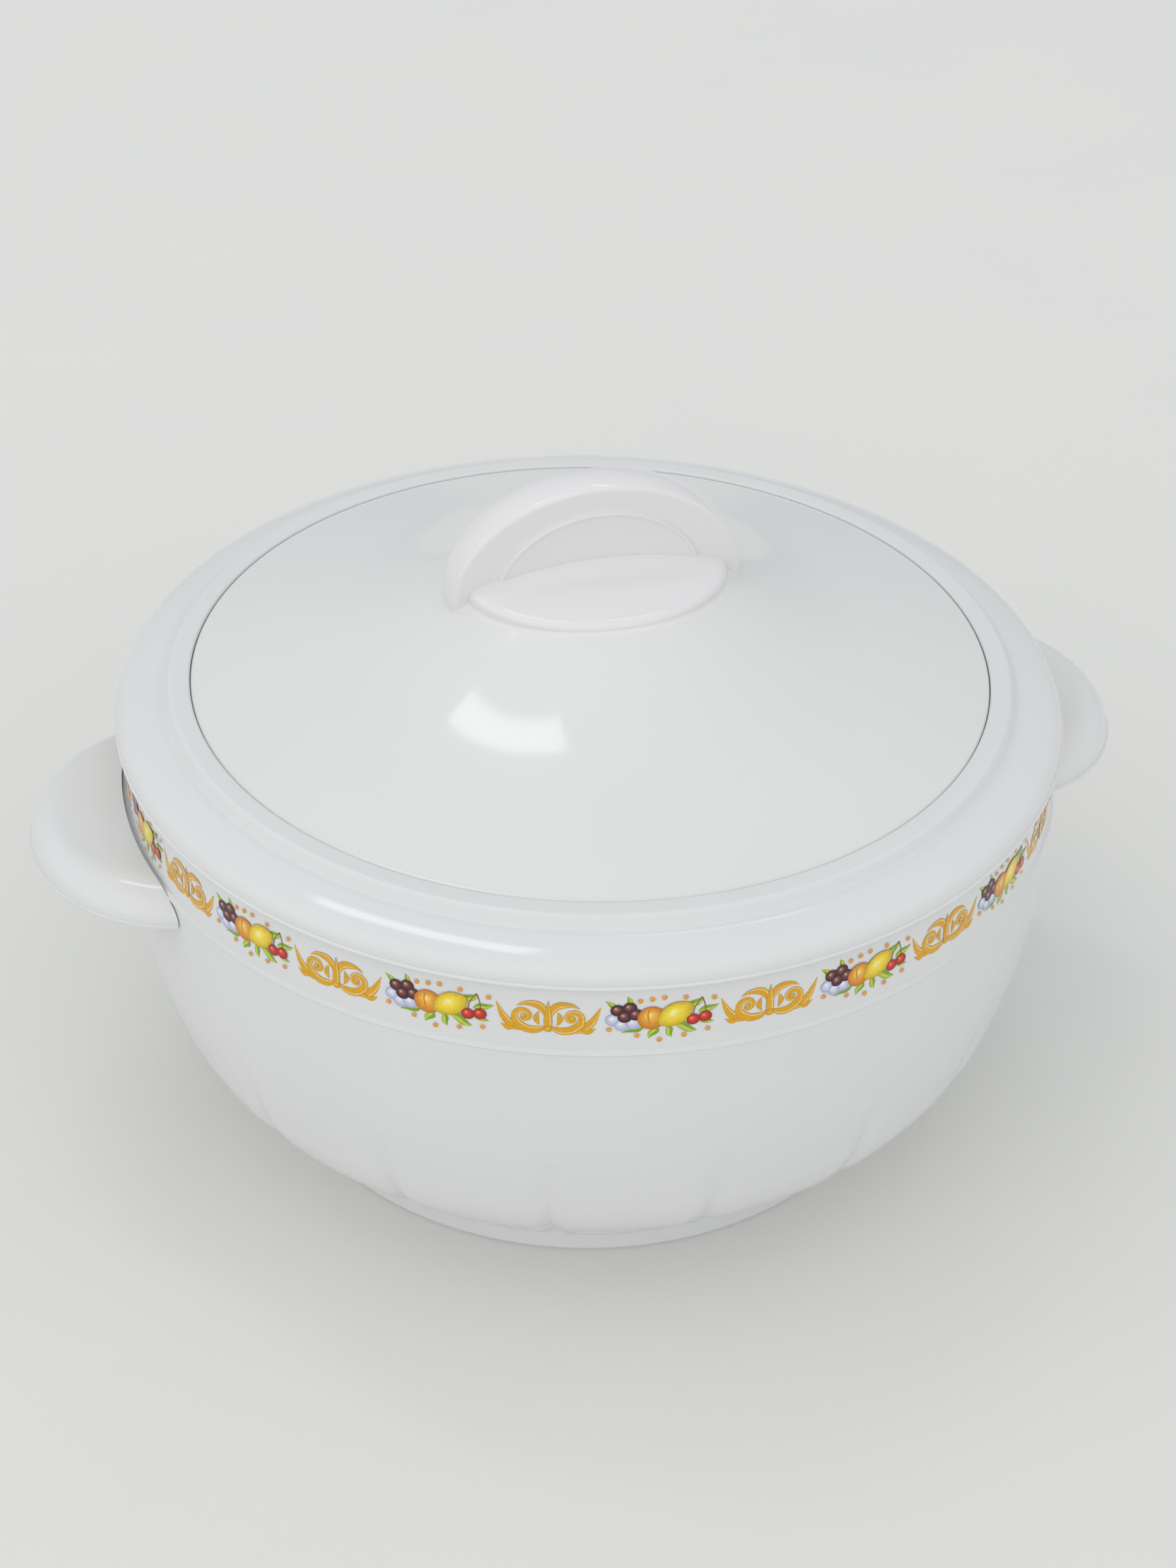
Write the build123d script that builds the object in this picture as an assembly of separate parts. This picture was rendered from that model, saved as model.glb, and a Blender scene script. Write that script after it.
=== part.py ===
"""Insulated chapati casserole: foam-filled bowl with a lift-off domed lid.

Millimetres, +Z up. The origin is the centre of the foot ring on the table, and
the two side handles lie along the X axis.
"""
import os
from math import atan2, cos, degrees, radians, sin, sqrt, tan

from build123d import *

# ---------------------------------------------------------------- driving sizes
# mouldings
wall = 2.4                      # polypropylene shells
fit_gap = 0.3                   # clearance between pieces that seat together
snap_gap = 0.2                  # clearance of a tongue in its groove
foam_gap = 0.3                  # shrinkage of the foam away from its walls

# outer bowl
body_radius = 131.0
bowl_top = 104.0                # shoulder on which the collar stands
base_radius = 95.2              # bottom edge of the belly
foot_setback = 0.2              # foot ring inside the belly's edge
foot_height = 6.0
foot_wall = 2.6
belly_turn_inset = 8.2          # corner between the belly's cone and its side
belly_turn_height = 36.0
side_turn_height = 69.6         # corner between the side and the upright wall
belly_round = 45.0
side_round = 160.0
tongue_height = 9.0             # upright tongue that enters the collar
tongue_wall = 2.2
shoulder_height = 8.6           # thickened ring below the shoulder

# lobes of the belly
lobe_count = 18
valley_depth = 1.4              # at the foot; the valleys run out at valley_end
valley_turn_depth = 0.8
valley_end = 56.0
valley_half_width = 7.0

# foam filling holes and their plugs
plug_hole_radius = 9.0
plug_cap_radius = 13.0
plug_cap_height = 1.4
plug_stem_height = 6.0
plug_clearance = 0.2
lid_plug_radius = 5.0
lid_plug_cap_radius = 8.0
base_rib_radius = 58.0
base_rib_width = 2.0
base_rib_height = 1.8

# collar with the printed band
band_height = 20.5
band_draft = 1.5                # how far the band leans in
bead_height = 1.6
bead_reach = 0.25
bead_setback = 0.5              # foot of the band inside the bowl's wall
deck_width = 12.0               # level deck that carries the lid
deck_round = 0.8
rim_recess = 1.2
recess_width = 9.0
collar_lip_height = 11.5

# steel inner bowl
steel = 0.8
mouth_gap = 1.6                 # between the steel wall's inside and the collar's bore
side_taper = 3.8
floor_height = 20.8
floor_round = 48.0
rim_reach = 9.0                 # width of the turned-out rim
rim_round = 1.6

# lid
lid_overhang = 1.9              # edge of the lid beyond the top of the band
lid_lift_gap = 0.3              # clearance between the lid and the deck
lid_skirt_wall = 2.4
lid_bead_height = 1.2           # thin bead along the lid's edge
lid_bead_reach = 0.6
lid_band_width = 11.0           # convex outer band
lid_band_height = 6.6
valley_width = 2.0              # level strip inside the band
ridge_flank = 1.8
ridge_width = 5.6
ridge_height = 10.9             # top of the ridge above the lid's lower edge
ledge_depth = 2.8
ledge_width = 3.9
ring_wall = 2.2
dome_edge_gap = 0.3             # shadow gap around the dome
dome_edge_step = 0.6            # edge of the dome below the ridge
dome_rise = 27.3                # crown of the dome above the ridge
bell_points = [(41.0, 3.5), (62.0, 12.4), (82.0, 19.6)]     # radius, drop from the crown
bell_edge_slope = 0.36
dome_snap_height = 4.0
liner_wall = 1.6
liner_clearance = 1.8           # plug of the liner inside the steel bowl
liner_plug_depth = 9.6
liner_step_width = 25.0
liner_step_height = 2.0
liner_round = 3.0

# knob
blade_half_length = 41.1
blade_sink = 3.0                # widest line of the arch below the dome's crown
blade_rise = 31.8
blade_thickness = 12.6
blade_edge_round = 3.6
knob_wall = 2.6
panel_half_length = 29.2
panel_rise = 24.2
panel_step = 0.8                # raised panel in front of the blade's face
panel_edge_round = 0.5
pad_half_width = 32.0
pad_stretch = 1.15              # pad's length over its width
pad_rise = 8.8                  # pad's crown above the dome's crown
pad_crown_radius = 71.0         # across the grip
pad_edge_round = 1.6
toe_reach = 1.3                 # flared toe beyond the end of the blade
toe_half_width = 17.5
toe_rise = 3.2
knob_seat_gap = 0.2
knob_screw_spacing = 34.0
knob_boss_radius = 4.5

# handles
handle_set_in = 14.9            # centre of the outline inside the bowl's wall
handle_reach = 41.1
handle_half_width = 45.6
handle_depth = 9.0
handle_lip_height = 1.3
handle_lip_reach = 0.5
plateau_radius = 33.0
plateau_rise = 2.8              # plateau above the bowl's shoulder
handle_wall = 2.4
handle_gap = 0.25               # between the handle's root and the bowl
handle_screw_spacing = 40.0
handle_screw_drop = 2.4         # screws below the bowl's shoulder
handle_boss_radius = 3.5
handle_boss_length = 11.0

# self-tapping screws
screw_shank_radius = 1.6
screw_head_radius = 3.2
screw_head_height = 2.2
screw_tip_radius = 0.4
handle_screw_length = 12.0
knob_screw_length = 14.4
screw_hole_clearance = 0.15

# --------------------------------------------------------------- derived sizes
belly_turn_radius = body_radius - belly_turn_inset
cone_angle = degrees(atan2(belly_turn_radius - base_radius, belly_turn_height - foot_height))
side_angle = degrees(atan2(belly_turn_inset, side_turn_height - belly_turn_height))
foot_radius = base_radius - foot_setback
collar_inner_radius = body_radius - wall
tongue_radius = collar_inner_radius - snap_gap
shoulder_radius = tongue_radius - tongue_wall

band_top = bowl_top + band_height
band_top_radius = body_radius - band_draft
deck_inner_radius = band_top_radius - deck_width
collar_bore_radius = deck_inner_radius - recess_width
rim_seat = band_top - rim_recess
mouth_radius = collar_bore_radius - mouth_gap

lid_radius = band_top_radius + lid_overhang
lid_bottom = band_top + lid_lift_gap
lid_band_radius = lid_radius - lid_bead_reach
band_low = lid_bottom + lid_bead_height
band_crest_radius = lid_band_radius - lid_band_width
band_crest = band_low + lid_band_height
ridge_foot_radius = band_crest_radius - valley_width
ridge_outer_radius = ridge_foot_radius - ridge_flank
ridge_inner_radius = ridge_outer_radius - ridge_width
ledge_inner_radius = ridge_inner_radius - ledge_width
ridge_top = lid_bottom + ridge_height
ledge_top = ridge_top - ledge_depth
flange_top = lid_bottom + liner_wall
dome_edge_radius = ridge_inner_radius - dome_edge_gap
dome_edge_height = ridge_top - dome_edge_step
dome_snap_radius = ledge_inner_radius - fit_gap
dome_snap_inner = dome_snap_radius - ring_wall
dome_height = ridge_top + dome_rise
liner_plug_radius = mouth_radius - liner_clearance
liner_floor = lid_bottom - liner_plug_depth
liner_step_radius = liner_plug_radius - liner_step_width

blade_base = dome_height - blade_sink
pad_top = dome_height + pad_rise
knob_screw_seat = dome_height - wall - blade_sink / 3

handle_centre = body_radius - handle_set_in
handle_top = bowl_top + plateau_rise
handle_bottom = handle_top - handle_depth
handle_screw_height = bowl_top - handle_screw_drop


def revolved(face):
    """Turn a profile, drawn in the XZ plane, about the vertical axis."""
    return revolve(face, Axis.Z, 360)


def profile(points):
    """Closed straight-sided section from (radius, height) points."""
    return Plane.XZ * make_face(Polyline(*points, close=True))


def inset_corner(radius, height, angle_below, angle_above, inset):
    """Corner between two walls after both have moved inwards by inset."""
    middle = radians((angle_below + angle_above) / 2)
    spread = cos(radians((angle_below - angle_above) / 2))
    return radius - inset * cos(middle) / spread, height + inset * sin(middle) / spread


# ------------------------------------------------------------------ outer bowl
def belly(inset, bottom, top):
    """Solid of the belly's outside, moved inwards by inset."""
    turn = inset_corner(belly_turn_radius, belly_turn_height, cone_angle, side_angle, inset)
    side = inset_corner(body_radius, side_turn_height, side_angle, 0, inset)
    start_radius = turn[0] - (turn[1] - bottom) * tan(radians(cone_angle))
    outline = FilletPolyline(
        (start_radius, bottom), turn, side, (side[0], top),
        radius=[belly_round - inset, side_round - inset],
    )
    closing = Polyline((side[0], top), (0, top), (0, bottom), (start_radius, bottom))
    return revolved(Plane.XZ * make_face([outline, closing]))


def valley_cutter(inset):
    """Cusped groove between two lobes, fading out up the belly."""
    cone_slope = tan(radians(cone_angle))
    turn = inset_corner(
        belly_turn_radius, belly_turn_height, cone_angle, side_angle, inset + valley_turn_depth
    )
    low_radius = base_radius - (valley_depth + inset) / cos(radians(cone_angle))
    run_in = 8.0
    start = (low_radius - run_in * cone_slope, foot_height - run_in)
    end_radius = body_radius - (side_turn_height - valley_end) * tan(radians(side_angle))
    end = (end_radius - inset + valley_turn_depth / 2, valley_end)
    path = Plane.XZ * FilletPolyline(start, turn, end, radius=belly_round)
    flank = valley_half_width
    flank_round = (flank ** 2 + valley_depth ** 2) / (2 * valley_depth)
    middle = flank / 2
    sag = flank_round - sqrt(flank_round ** 2 - (flank - middle) ** 2)
    section_plane = Plane(origin=path @ 0, x_dir=(0, 1, 0), z_dir=path % 0)
    rise = 8.0
    section = make_face([
        ThreePointArc((0, 0), (middle, -(valley_depth - sag)), (flank, -valley_depth)),
        Polyline((flank, -valley_depth), (flank, -rise), (-flank, -rise), (-flank, -valley_depth)),
        ThreePointArc((-flank, -valley_depth), (-middle, -(valley_depth - sag)), (0, 0)),
    ])
    return sweep(section_plane * section, path=path)


def lobed_belly(inset, bottom, top):
    """Belly with its lobes: equal valleys cut into the turned form."""
    cutter = valley_cutter(inset)
    pitch = 360 / lobe_count
    cutters = [Rot(0, 0, pitch * (i + 0.5)) * cutter for i in range(lobe_count)]
    return belly(inset, bottom, top) - cutters


def ring(inner_radius, outer_radius, bottom, top):
    """Plain turned ring."""
    points = [
        (inner_radius, bottom), (outer_radius, bottom), (outer_radius, top), (inner_radius, top)
    ]
    return revolved(profile(points))


def shoulder_ring():
    """Thick ring under the collar, with the tongue that enters it."""
    low = bowl_top - shoulder_height
    wall_middle = body_radius - wall / 2
    return revolved(profile([
        (wall_middle, low - wall),
        (shoulder_radius, low + wall),
        (shoulder_radius, bowl_top + tongue_height),
        (tongue_radius, bowl_top + tongue_height),
        (tongue_radius, bowl_top),
        (wall_middle, bowl_top),
    ]))


def screw_places():
    """Start plane of each handle screw, its Z axis pointing out of the bowl."""
    places = []
    edge = handle_screw_spacing / 2 + screw_head_radius
    inner = sqrt(shoulder_radius ** 2 - edge ** 2)
    for turn in (0, 180):
        for side in (-1, 1):
            offset = side * handle_screw_spacing / 2
            plane = Plane(origin=(inner, offset, handle_screw_height), z_dir=(1, 0, 0))
            places.append(Rot(0, 0, turn) * Location(plane))
    return places


def screw_bore(length):
    """Bore for a screw's shank, open at Z=0."""
    bore = Cylinder(screw_shank_radius + screw_hole_clearance, length)
    return Pos(0, 0, length / 2) * bore


def make_outer_bowl():
    shell = lobed_belly(0, foot_height, bowl_top)
    shell -= lobed_belly(wall, foot_height + wall, bowl_top + wall)
    shell += shoulder_ring()
    shell += ring(foot_radius - foot_wall, foot_radius, 0, foot_height + wall / 2)
    shell += ring(
        base_rib_radius - base_rib_width, base_rib_radius,
        foot_height - base_rib_height, foot_height + wall / 2,
    )
    shell -= Pos(0, 0, foot_height) * Cylinder(plug_hole_radius, 4 * wall)
    shell -= [place * screw_bore(handle_screw_length) for place in screw_places()]
    return shell


def make_plug(stem_radius, cap_radius, seat):
    """Press-in plug of a foam filling hole, its cap under the seat's height."""
    cap = Pos(0, 0, seat - plug_cap_height / 2) * Cylinder(cap_radius, plug_cap_height)
    cap = fillet(cap.edges().group_by(Axis.Z)[0], plug_cap_height / 2)
    return cap + Pos(0, 0, seat + plug_stem_height / 2) * Cylinder(stem_radius, plug_stem_height)


def make_foam_plug():
    return make_plug(plug_hole_radius - plug_clearance, plug_cap_radius, foot_height)


# ---------------------------------------------------------------------- collar
def make_collar_ring():
    """Band, bead, deck under the lid and the lip behind the steel bowl, in one turning."""
    bead_top = bowl_top + bead_height
    band_foot_radius = body_radius - bead_setback
    outer = [
        ThreePointArc(
            (body_radius, bowl_top),
            (body_radius + bead_reach, bowl_top + bead_height / 2),
            (band_foot_radius, bead_top),
        ),
        Line((band_foot_radius, bead_top), (band_top_radius, band_top - deck_round)),
        TangentArc(
            (band_top_radius, band_top - deck_round),
            (band_top_radius - deck_round, band_top),
            tangent=(0, 1),
        ),
    ]
    deck_underside = rim_seat - wall
    rest = Polyline(
        (band_top_radius - deck_round, band_top),
        (deck_inner_radius, band_top),
        (deck_inner_radius, rim_seat),
        (collar_bore_radius, rim_seat),
        (collar_bore_radius, rim_seat - collar_lip_height),
        (collar_bore_radius + wall, rim_seat - collar_lip_height),
        (collar_bore_radius + wall, deck_underside),
        (collar_inner_radius - wall, deck_underside),
        (collar_inner_radius, bowl_top + tongue_height + wall),
        (collar_inner_radius, bowl_top),
        (body_radius, bowl_top),
    )
    return revolved(Plane.XZ * make_face(outer + [rest]))


# ------------------------------------------------------------- steel inner bowl
def steel_form(inset, top):
    """Solid inside of the steel bowl, grown outwards by -inset."""
    mouth = mouth_radius - inset
    corner = mouth - side_taper
    low = floor_height + inset
    outline = FilletPolyline((mouth, top), (corner, low), (0, low), radius=floor_round - inset)
    closing = Polyline((0, low), (0, top), (mouth, top))
    return revolved(Plane.XZ * make_face([outline, closing]))


def make_inner_bowl():
    rim_top = rim_seat + steel
    shell = steel_form(-steel, rim_seat) - steel_form(0, rim_top)
    flare = mouth_radius + rim_round
    rim = profile([
        (mouth_radius, rim_seat - rim_round),
        (mouth_radius + steel, rim_seat - rim_round),
        (flare, rim_seat),
        (mouth_radius + rim_reach, rim_seat),
        (mouth_radius + rim_reach, rim_top),
        (flare - steel, rim_top),
        (mouth_radius, rim_top - rim_round + steel / 2),
    ])
    return shell + revolved(rim)


# ------------------------------------------------------------------- body foam
def make_body_foam():
    """Rigid foam between the outer bowl, the collar and the steel bowl."""
    clear = wall + foam_gap
    foam_top = rim_seat - wall - foam_gap
    foam = lobed_belly(clear, foot_height + clear, foam_top)
    foam -= steel_form(-steel - foam_gap, foam_top + wall)
    low = bowl_top - shoulder_height - wall - foam_gap
    inner = shoulder_radius - foam_gap
    foam -= revolved(profile([
        (body_radius, low - foam_gap), (body_radius - wall, low - foam_gap),
        (inner, low + 2 * wall), (inner, foam_top + wall), (body_radius, foam_top + wall),
    ]))
    lip_low = rim_seat - collar_lip_height - foam_gap
    foam -= ring(0, collar_bore_radius + wall + foam_gap, lip_low, foam_top + wall)
    plug_room = Cylinder(plug_hole_radius + foam_gap, 2 * plug_stem_height + 4 * foam_gap)
    foam -= Pos(0, 0, foot_height) * plug_room
    head_room = Pos(0, 0, -screw_head_height) * Cylinder(
        screw_head_radius + foam_gap, 2 * screw_head_height + 2 * wall
    )
    foam -= [place * head_room for place in screw_places()]
    return foam


# --------------------------------------------------------------------- handles
def handle_form(inset, bottom):
    """Half-moon shelf: flat plateau and a convex flank that ends upright on the lip."""
    low = handle_bottom + handle_lip_height
    top = handle_top - inset
    faces = []
    for share in (1.0, 0.95, 0.8, 0.5, 0.0):
        height = low + (top - low) * sqrt(1 - share ** 2)
        reach = plateau_radius + share * (handle_reach - plateau_radius) - inset
        half_width = plateau_radius + share * (handle_half_width - plateau_radius) - inset
        faces.append(Pos(handle_centre, 0, height) * Ellipse(reach, half_width))
    edge = Pos(0, 0, bottom - low) * faces[0]
    return loft(faces) + extrude(edge, low - bottom)


def collar_outline(gap):
    """What the handle's root must clear: bowl wall, bead and band, grown by gap."""
    bead_reach_all = body_radius + bead_reach + gap
    return revolved(profile([
        (0, 0),
        (body_radius + gap, 0),
        (body_radius + gap, bowl_top - gap),
        (bead_reach_all, bowl_top + gap),
        (bead_reach_all, handle_top + gap),
        (0, handle_top + gap),
    ]))


def make_handle():
    """Hollow half-moon handle with its root wall and two screw bosses."""
    shell = handle_form(0, handle_bottom) - handle_form(handle_wall, handle_bottom - handle_wall)
    lip_face = Pos(handle_centre, 0, handle_bottom) * Ellipse(
        handle_reach + handle_lip_reach, handle_half_width + handle_lip_reach
    )
    inner_face = Pos(handle_centre, 0, handle_bottom) * Ellipse(
        handle_reach - handle_wall, handle_half_width - handle_wall
    )
    shell += extrude(lip_face - inner_face, handle_lip_height)
    root_outer = body_radius + bead_reach + handle_wall
    root = handle_form(0, handle_bottom) & ring(0, root_outer, handle_bottom, handle_top)
    shell += root
    boss = Pos(0, 0, handle_boss_length / 2) * Cylinder(handle_boss_radius, handle_boss_length)
    bore = screw_bore(handle_screw_length + 2 * screw_shank_radius)
    places = screw_places()[:2]
    shell += [place * Pos(0, 0, wall) * boss for place in places]
    shell -= collar_outline(handle_gap)
    return shell - [place * bore for place in places]


def make_screw(length):
    """Self-tapping screw: its head lies below Z=0 and its shank above."""
    head = Pos(0, 0, -screw_head_height / 2) * Cylinder(screw_head_radius, screw_head_height)
    head = fillet(head.edges().group_by(Axis.Z)[0], screw_head_height / 3)
    shank = Pos(0, 0, length / 2) * Cylinder(screw_shank_radius, length)
    tip = Cone(screw_shank_radius, screw_tip_radius, screw_shank_radius)
    return head + shank + Pos(0, 0, length + screw_shank_radius / 2) * tip


def make_handle_screws():
    screw = make_screw(handle_screw_length)
    return Compound([place * screw for place in screw_places()])


# ------------------------------------------------------------------------- lid
def convex_band():
    """Outer band of the lid as two arcs, upright at its edge and level at its crest."""
    first, second = radians(34), radians(74)     # chords of the arcs, from the upright
    spread = sin(second - first)
    chord = (lid_band_height * sin(second) - lid_band_width * cos(second)) / spread
    middle = (lid_band_radius - chord * sin(first), band_low + chord * cos(first))
    lower = TangentArc((lid_band_radius, band_low), middle, tangent=(0, 1))
    upper = TangentArc(middle, (band_crest_radius, band_crest), tangent=lower % 1)
    return [lower, upper]


def make_lid_ring():
    """Outer ring of the lid: convex band, shallow valley and flat-topped ridge."""
    ridge = FilletPolyline(
        (band_crest_radius, band_crest),
        (ridge_foot_radius, band_crest),
        (ridge_outer_radius, ridge_top),
        (ridge_inner_radius, ridge_top),
        (ridge_inner_radius, ledge_top),
        radius=[1.2, 0.9, 0.8],
    )
    under = ledge_top - ring_wall
    skirt = lid_radius - lid_skirt_wall
    inner_foot = ledge_inner_radius + ring_wall
    inside = Polyline(
        (ridge_inner_radius, ledge_top),
        (ledge_inner_radius, ledge_top),
        (ledge_inner_radius, flange_top),
        (inner_foot, flange_top),
        (inner_foot, under),
        (band_crest_radius, under),
        (skirt, flange_top + 2 * fit_gap),
        (skirt, lid_bottom),
        (lid_band_radius, lid_bottom),
    )
    bead = ThreePointArc(
        (lid_band_radius, lid_bottom),
        (lid_radius, lid_bottom + lid_bead_height / 2),
        (lid_band_radius, band_low),
    )
    return revolved(Plane.XZ * make_face([bead] + convex_band() + [ridge, inside]))


def dome_solid(drop):
    """Everything under the dome's bell line, lowered by drop, down to the liner's floor."""
    crown = (0, dome_height - drop)
    edge = (dome_edge_radius, dome_edge_height - drop)
    points = [crown] + [(radius, crown[1] - fall) for radius, fall in bell_points] + [edge]
    bell = Spline(*points, tangents=[(1, 0), (1, -bell_edge_slope)])
    closing = Polyline(edge, (dome_edge_radius, liner_floor), (0, liner_floor), crown)
    return revolved(Plane.XZ * make_face([bell, closing]))


def make_lid_dome():
    """Bell shell whose thick rim lies on the ring's ledge, with a snap skirt below."""
    shell = dome_solid(0) - dome_solid(wall)
    rim = ring(dome_snap_inner, dome_edge_radius, ledge_top, ridge_top) & dome_solid(wall / 2)
    skirt = ring(dome_snap_inner, dome_snap_radius, ledge_top - dome_snap_height, ledge_top + wall / 2)
    shell -= ring(dome_snap_radius, lid_radius, liner_floor, ledge_top)
    shell += [rim, skirt & dome_solid(wall / 2)]
    return shell - [place * screw_bore(knob_screw_length) for place in knob_screw_places()]


def make_lid_liner():
    """Inner lid: seat flange, plug that enters the bowl, and a stepped floor."""
    flange_radius = lid_radius - lid_skirt_wall - fit_gap
    step_floor = liner_floor + liner_step_height
    under = FilletPolyline(
        (flange_radius, lid_bottom),
        (liner_plug_radius, lid_bottom),
        (liner_plug_radius, liner_floor),
        (liner_step_radius + liner_step_height, liner_floor),
        (liner_step_radius, step_floor),
        (0, step_floor),
        radius=[0.8, liner_round, 1.0, 1.0],
    )
    upper = FilletPolyline(
        (0, step_floor + liner_wall),
        (liner_step_radius, step_floor + liner_wall),
        (liner_step_radius + liner_step_height, liner_floor + liner_wall),
        (liner_plug_radius - liner_wall, liner_floor + liner_wall),
        (liner_plug_radius - liner_wall, flange_top),
        (flange_radius, flange_top),
        radius=[1.0, 1.0, liner_round - liner_wall, 0.8],
    )
    edge = Line((flange_radius, flange_top), (flange_radius, lid_bottom))
    axis_line = Line((0, step_floor), (0, step_floor + liner_wall))
    liner = revolved(Plane.XZ * make_face([under, upper, edge, axis_line]))
    return liner - Pos(0, 0, liner_floor) * Cylinder(lid_plug_radius, 8 * liner_wall)


def make_lid_plug():
    return make_plug(
        lid_plug_radius - plug_clearance, lid_plug_cap_radius, liner_floor + liner_step_height
    )


def make_lid_foam():
    """Rigid foam between the dome and the liner."""
    radius = liner_plug_radius - liner_wall - foam_gap
    low = liner_floor + liner_wall + foam_gap
    step_low = low + liner_step_height
    core = revolved(profile([
        (0, step_low),
        (liner_step_radius, step_low),
        (liner_step_radius + liner_step_height + foam_gap, low),
        (radius - liner_round, low),
        (radius, low + liner_round),
        (radius, dome_height),
        (0, dome_height),
    ]))
    foam = core & dome_solid(wall + foam_gap)
    foam -= Pos(0, 0, step_low) * Cylinder(lid_plug_radius + foam_gap, 2 * plug_stem_height)
    room = Cylinder(screw_head_radius + foam_gap, 2 * (screw_head_height + foam_gap))
    return foam - [place * room for place in knob_screw_places()]


# ------------------------------------------------------------------------ knob
def arched_plate(half_length, rise, thickness):
    """Upright half-elliptical plate along the X axis."""
    outline = Plane.XZ * (Pos(0, blade_base) * Ellipse(half_length, rise))
    plate = extrude(outline, thickness / 2, both=True)
    keep = Box(3 * half_length, 2 * thickness, 1.5 * rise)
    return plate & Pos(0, 0, blade_base + 0.75 * rise) * keep


def rounded_arch(plate, edge_round):
    """Plate with both arched edges rounded."""
    return fillet(plate.edges().filter_by(GeomType.ELLIPSE), edge_round)


def blade(inset):
    """Upright arched grip, moved inwards by inset."""
    thickness = blade_thickness - 2 * inset
    return arched_plate(blade_half_length - inset, blade_rise - inset, thickness)


def grip_panels():
    """Plate through the grip that stands out as a low arched panel on each face."""
    plate = arched_plate(panel_half_length, panel_rise, blade_thickness + 2 * panel_step)
    return rounded_arch(plate, panel_edge_round)


def pad(inset):
    """Oval crowned pad at the foot of the grip."""
    low = blade_base - 2 * blade_sink
    body = Pos(0, 0, (low + pad_top) / 2) * Cylinder(pad_half_width - inset, pad_top - low)
    body &= Pos(0, 0, pad_top - pad_crown_radius) * Sphere(pad_crown_radius - inset)
    if not inset:
        rims = body.edges().filter_by(lambda edge: edge.is_closed)
        body = fillet(rims.group_by(Axis.Z)[-1], pad_edge_round)
    return scale(body, by=(pad_stretch, 1, 1))


def toes():
    """Low flare that carries both ends of the grip down to the dome."""
    half_length = blade_half_length + toe_reach
    low = Pos(0, 0, blade_base) * Ellipse(half_length, toe_half_width)
    high = Pos(0, 0, blade_base + toe_rise) * Ellipse(
        half_length - toe_half_width / 2, toe_half_width / 2
    )
    return loft([low, high]) + extrude(low, -2 * blade_sink)


def knob_screw_places():
    """Start plane of each knob screw, under the dome's crown."""
    offset = knob_screw_spacing / 2
    return [Pos(side * offset, 0, knob_screw_seat) for side in (-1, 1)]


def make_knob():
    grip = rounded_arch(blade(0), blade_edge_round) + grip_panels()
    knob = grip + pad(0) + toes()
    knob -= pad(knob_wall)
    knob -= blade(knob_wall)
    boss = Cylinder(knob_boss_radius, 2 * blade_rise)
    knob += [(place * boss) & grip for place in knob_screw_places()]
    knob -= dome_solid(-knob_seat_gap)
    bore = screw_bore(knob_screw_length + 2 * screw_shank_radius)
    return knob - [place * bore for place in knob_screw_places()]


def make_knob_screws():
    screw = make_screw(knob_screw_length)
    return Compound([place * screw for place in knob_screw_places()])


# ---------------------------------------------------------------------- export
def make_all():
    handle = make_handle()
    return {
        "outer_bowl": make_outer_bowl(),
        "foam_plug": make_foam_plug(),
        "collar_ring": make_collar_ring(),
        "inner_bowl": make_inner_bowl(),
        "body_foam": make_body_foam(),
        "handle_right": handle,
        "handle_left": Rot(0, 0, 180) * handle,
        "handle_screws": make_handle_screws(),
        "lid_ring": make_lid_ring(),
        "lid_dome": make_lid_dome(),
        "lid_liner": make_lid_liner(),
        "lid_plug": make_lid_plug(),
        "lid_foam": make_lid_foam(),
        "knob": make_knob(),
        "knob_screws": make_knob_screws(),
    }


os.makedirs("parts", exist_ok=True)
for name, shape in make_all().items():
    export_step(shape, f"parts/{name}.step")
    print(name, round(shape.volume))
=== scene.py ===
import bpy
import bmesh
from math import atan2, cos, degrees, hypot, pi, radians, sin, sqrt, tan
from mathutils import Matrix, Vector


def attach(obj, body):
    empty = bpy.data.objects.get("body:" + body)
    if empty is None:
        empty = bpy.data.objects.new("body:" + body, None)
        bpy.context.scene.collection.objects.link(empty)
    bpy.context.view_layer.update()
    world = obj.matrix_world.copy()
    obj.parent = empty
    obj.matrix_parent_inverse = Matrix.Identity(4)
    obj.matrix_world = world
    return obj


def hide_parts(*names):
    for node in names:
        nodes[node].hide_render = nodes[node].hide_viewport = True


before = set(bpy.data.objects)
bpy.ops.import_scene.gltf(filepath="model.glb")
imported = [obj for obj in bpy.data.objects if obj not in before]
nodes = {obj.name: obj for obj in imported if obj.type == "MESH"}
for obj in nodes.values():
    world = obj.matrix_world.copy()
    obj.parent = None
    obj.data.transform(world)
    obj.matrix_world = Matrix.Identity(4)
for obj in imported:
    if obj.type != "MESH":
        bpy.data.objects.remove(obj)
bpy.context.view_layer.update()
mm = 0.001
print("frame loaded:", len(nodes), "CAD nodes")


def hexColour(code):
    # sRGB hex to the linear colour that sockets and attributes hold
    parts = [int(code[i:i + 2], 16) / 255 for i in (0, 2, 4)]
    return [p / 12.92 if p <= 0.04045 else ((p + 0.055) / 1.055) ** 2.4 for p in parts] + [1.0]


def addNode(tree, kind, settings=None, links=None):
    # settings: socket or attribute -> value; links: socket -> output socket, or node for its first output
    node = tree.nodes.new(kind)
    for key, value in (settings or {}).items():
        if isinstance(key, int) or key in node.inputs.keys():
            node.inputs[key].default_value = value
        else:
            setattr(node, key, value)
    for key, source in (links or {}).items():
        isSocket = isinstance(source, bpy.types.NodeSocket)
        tree.links.new(source if isSocket else source.outputs[0], node.inputs[key])
    return node


# outlines: (radius from the axis, height) in mm

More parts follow.
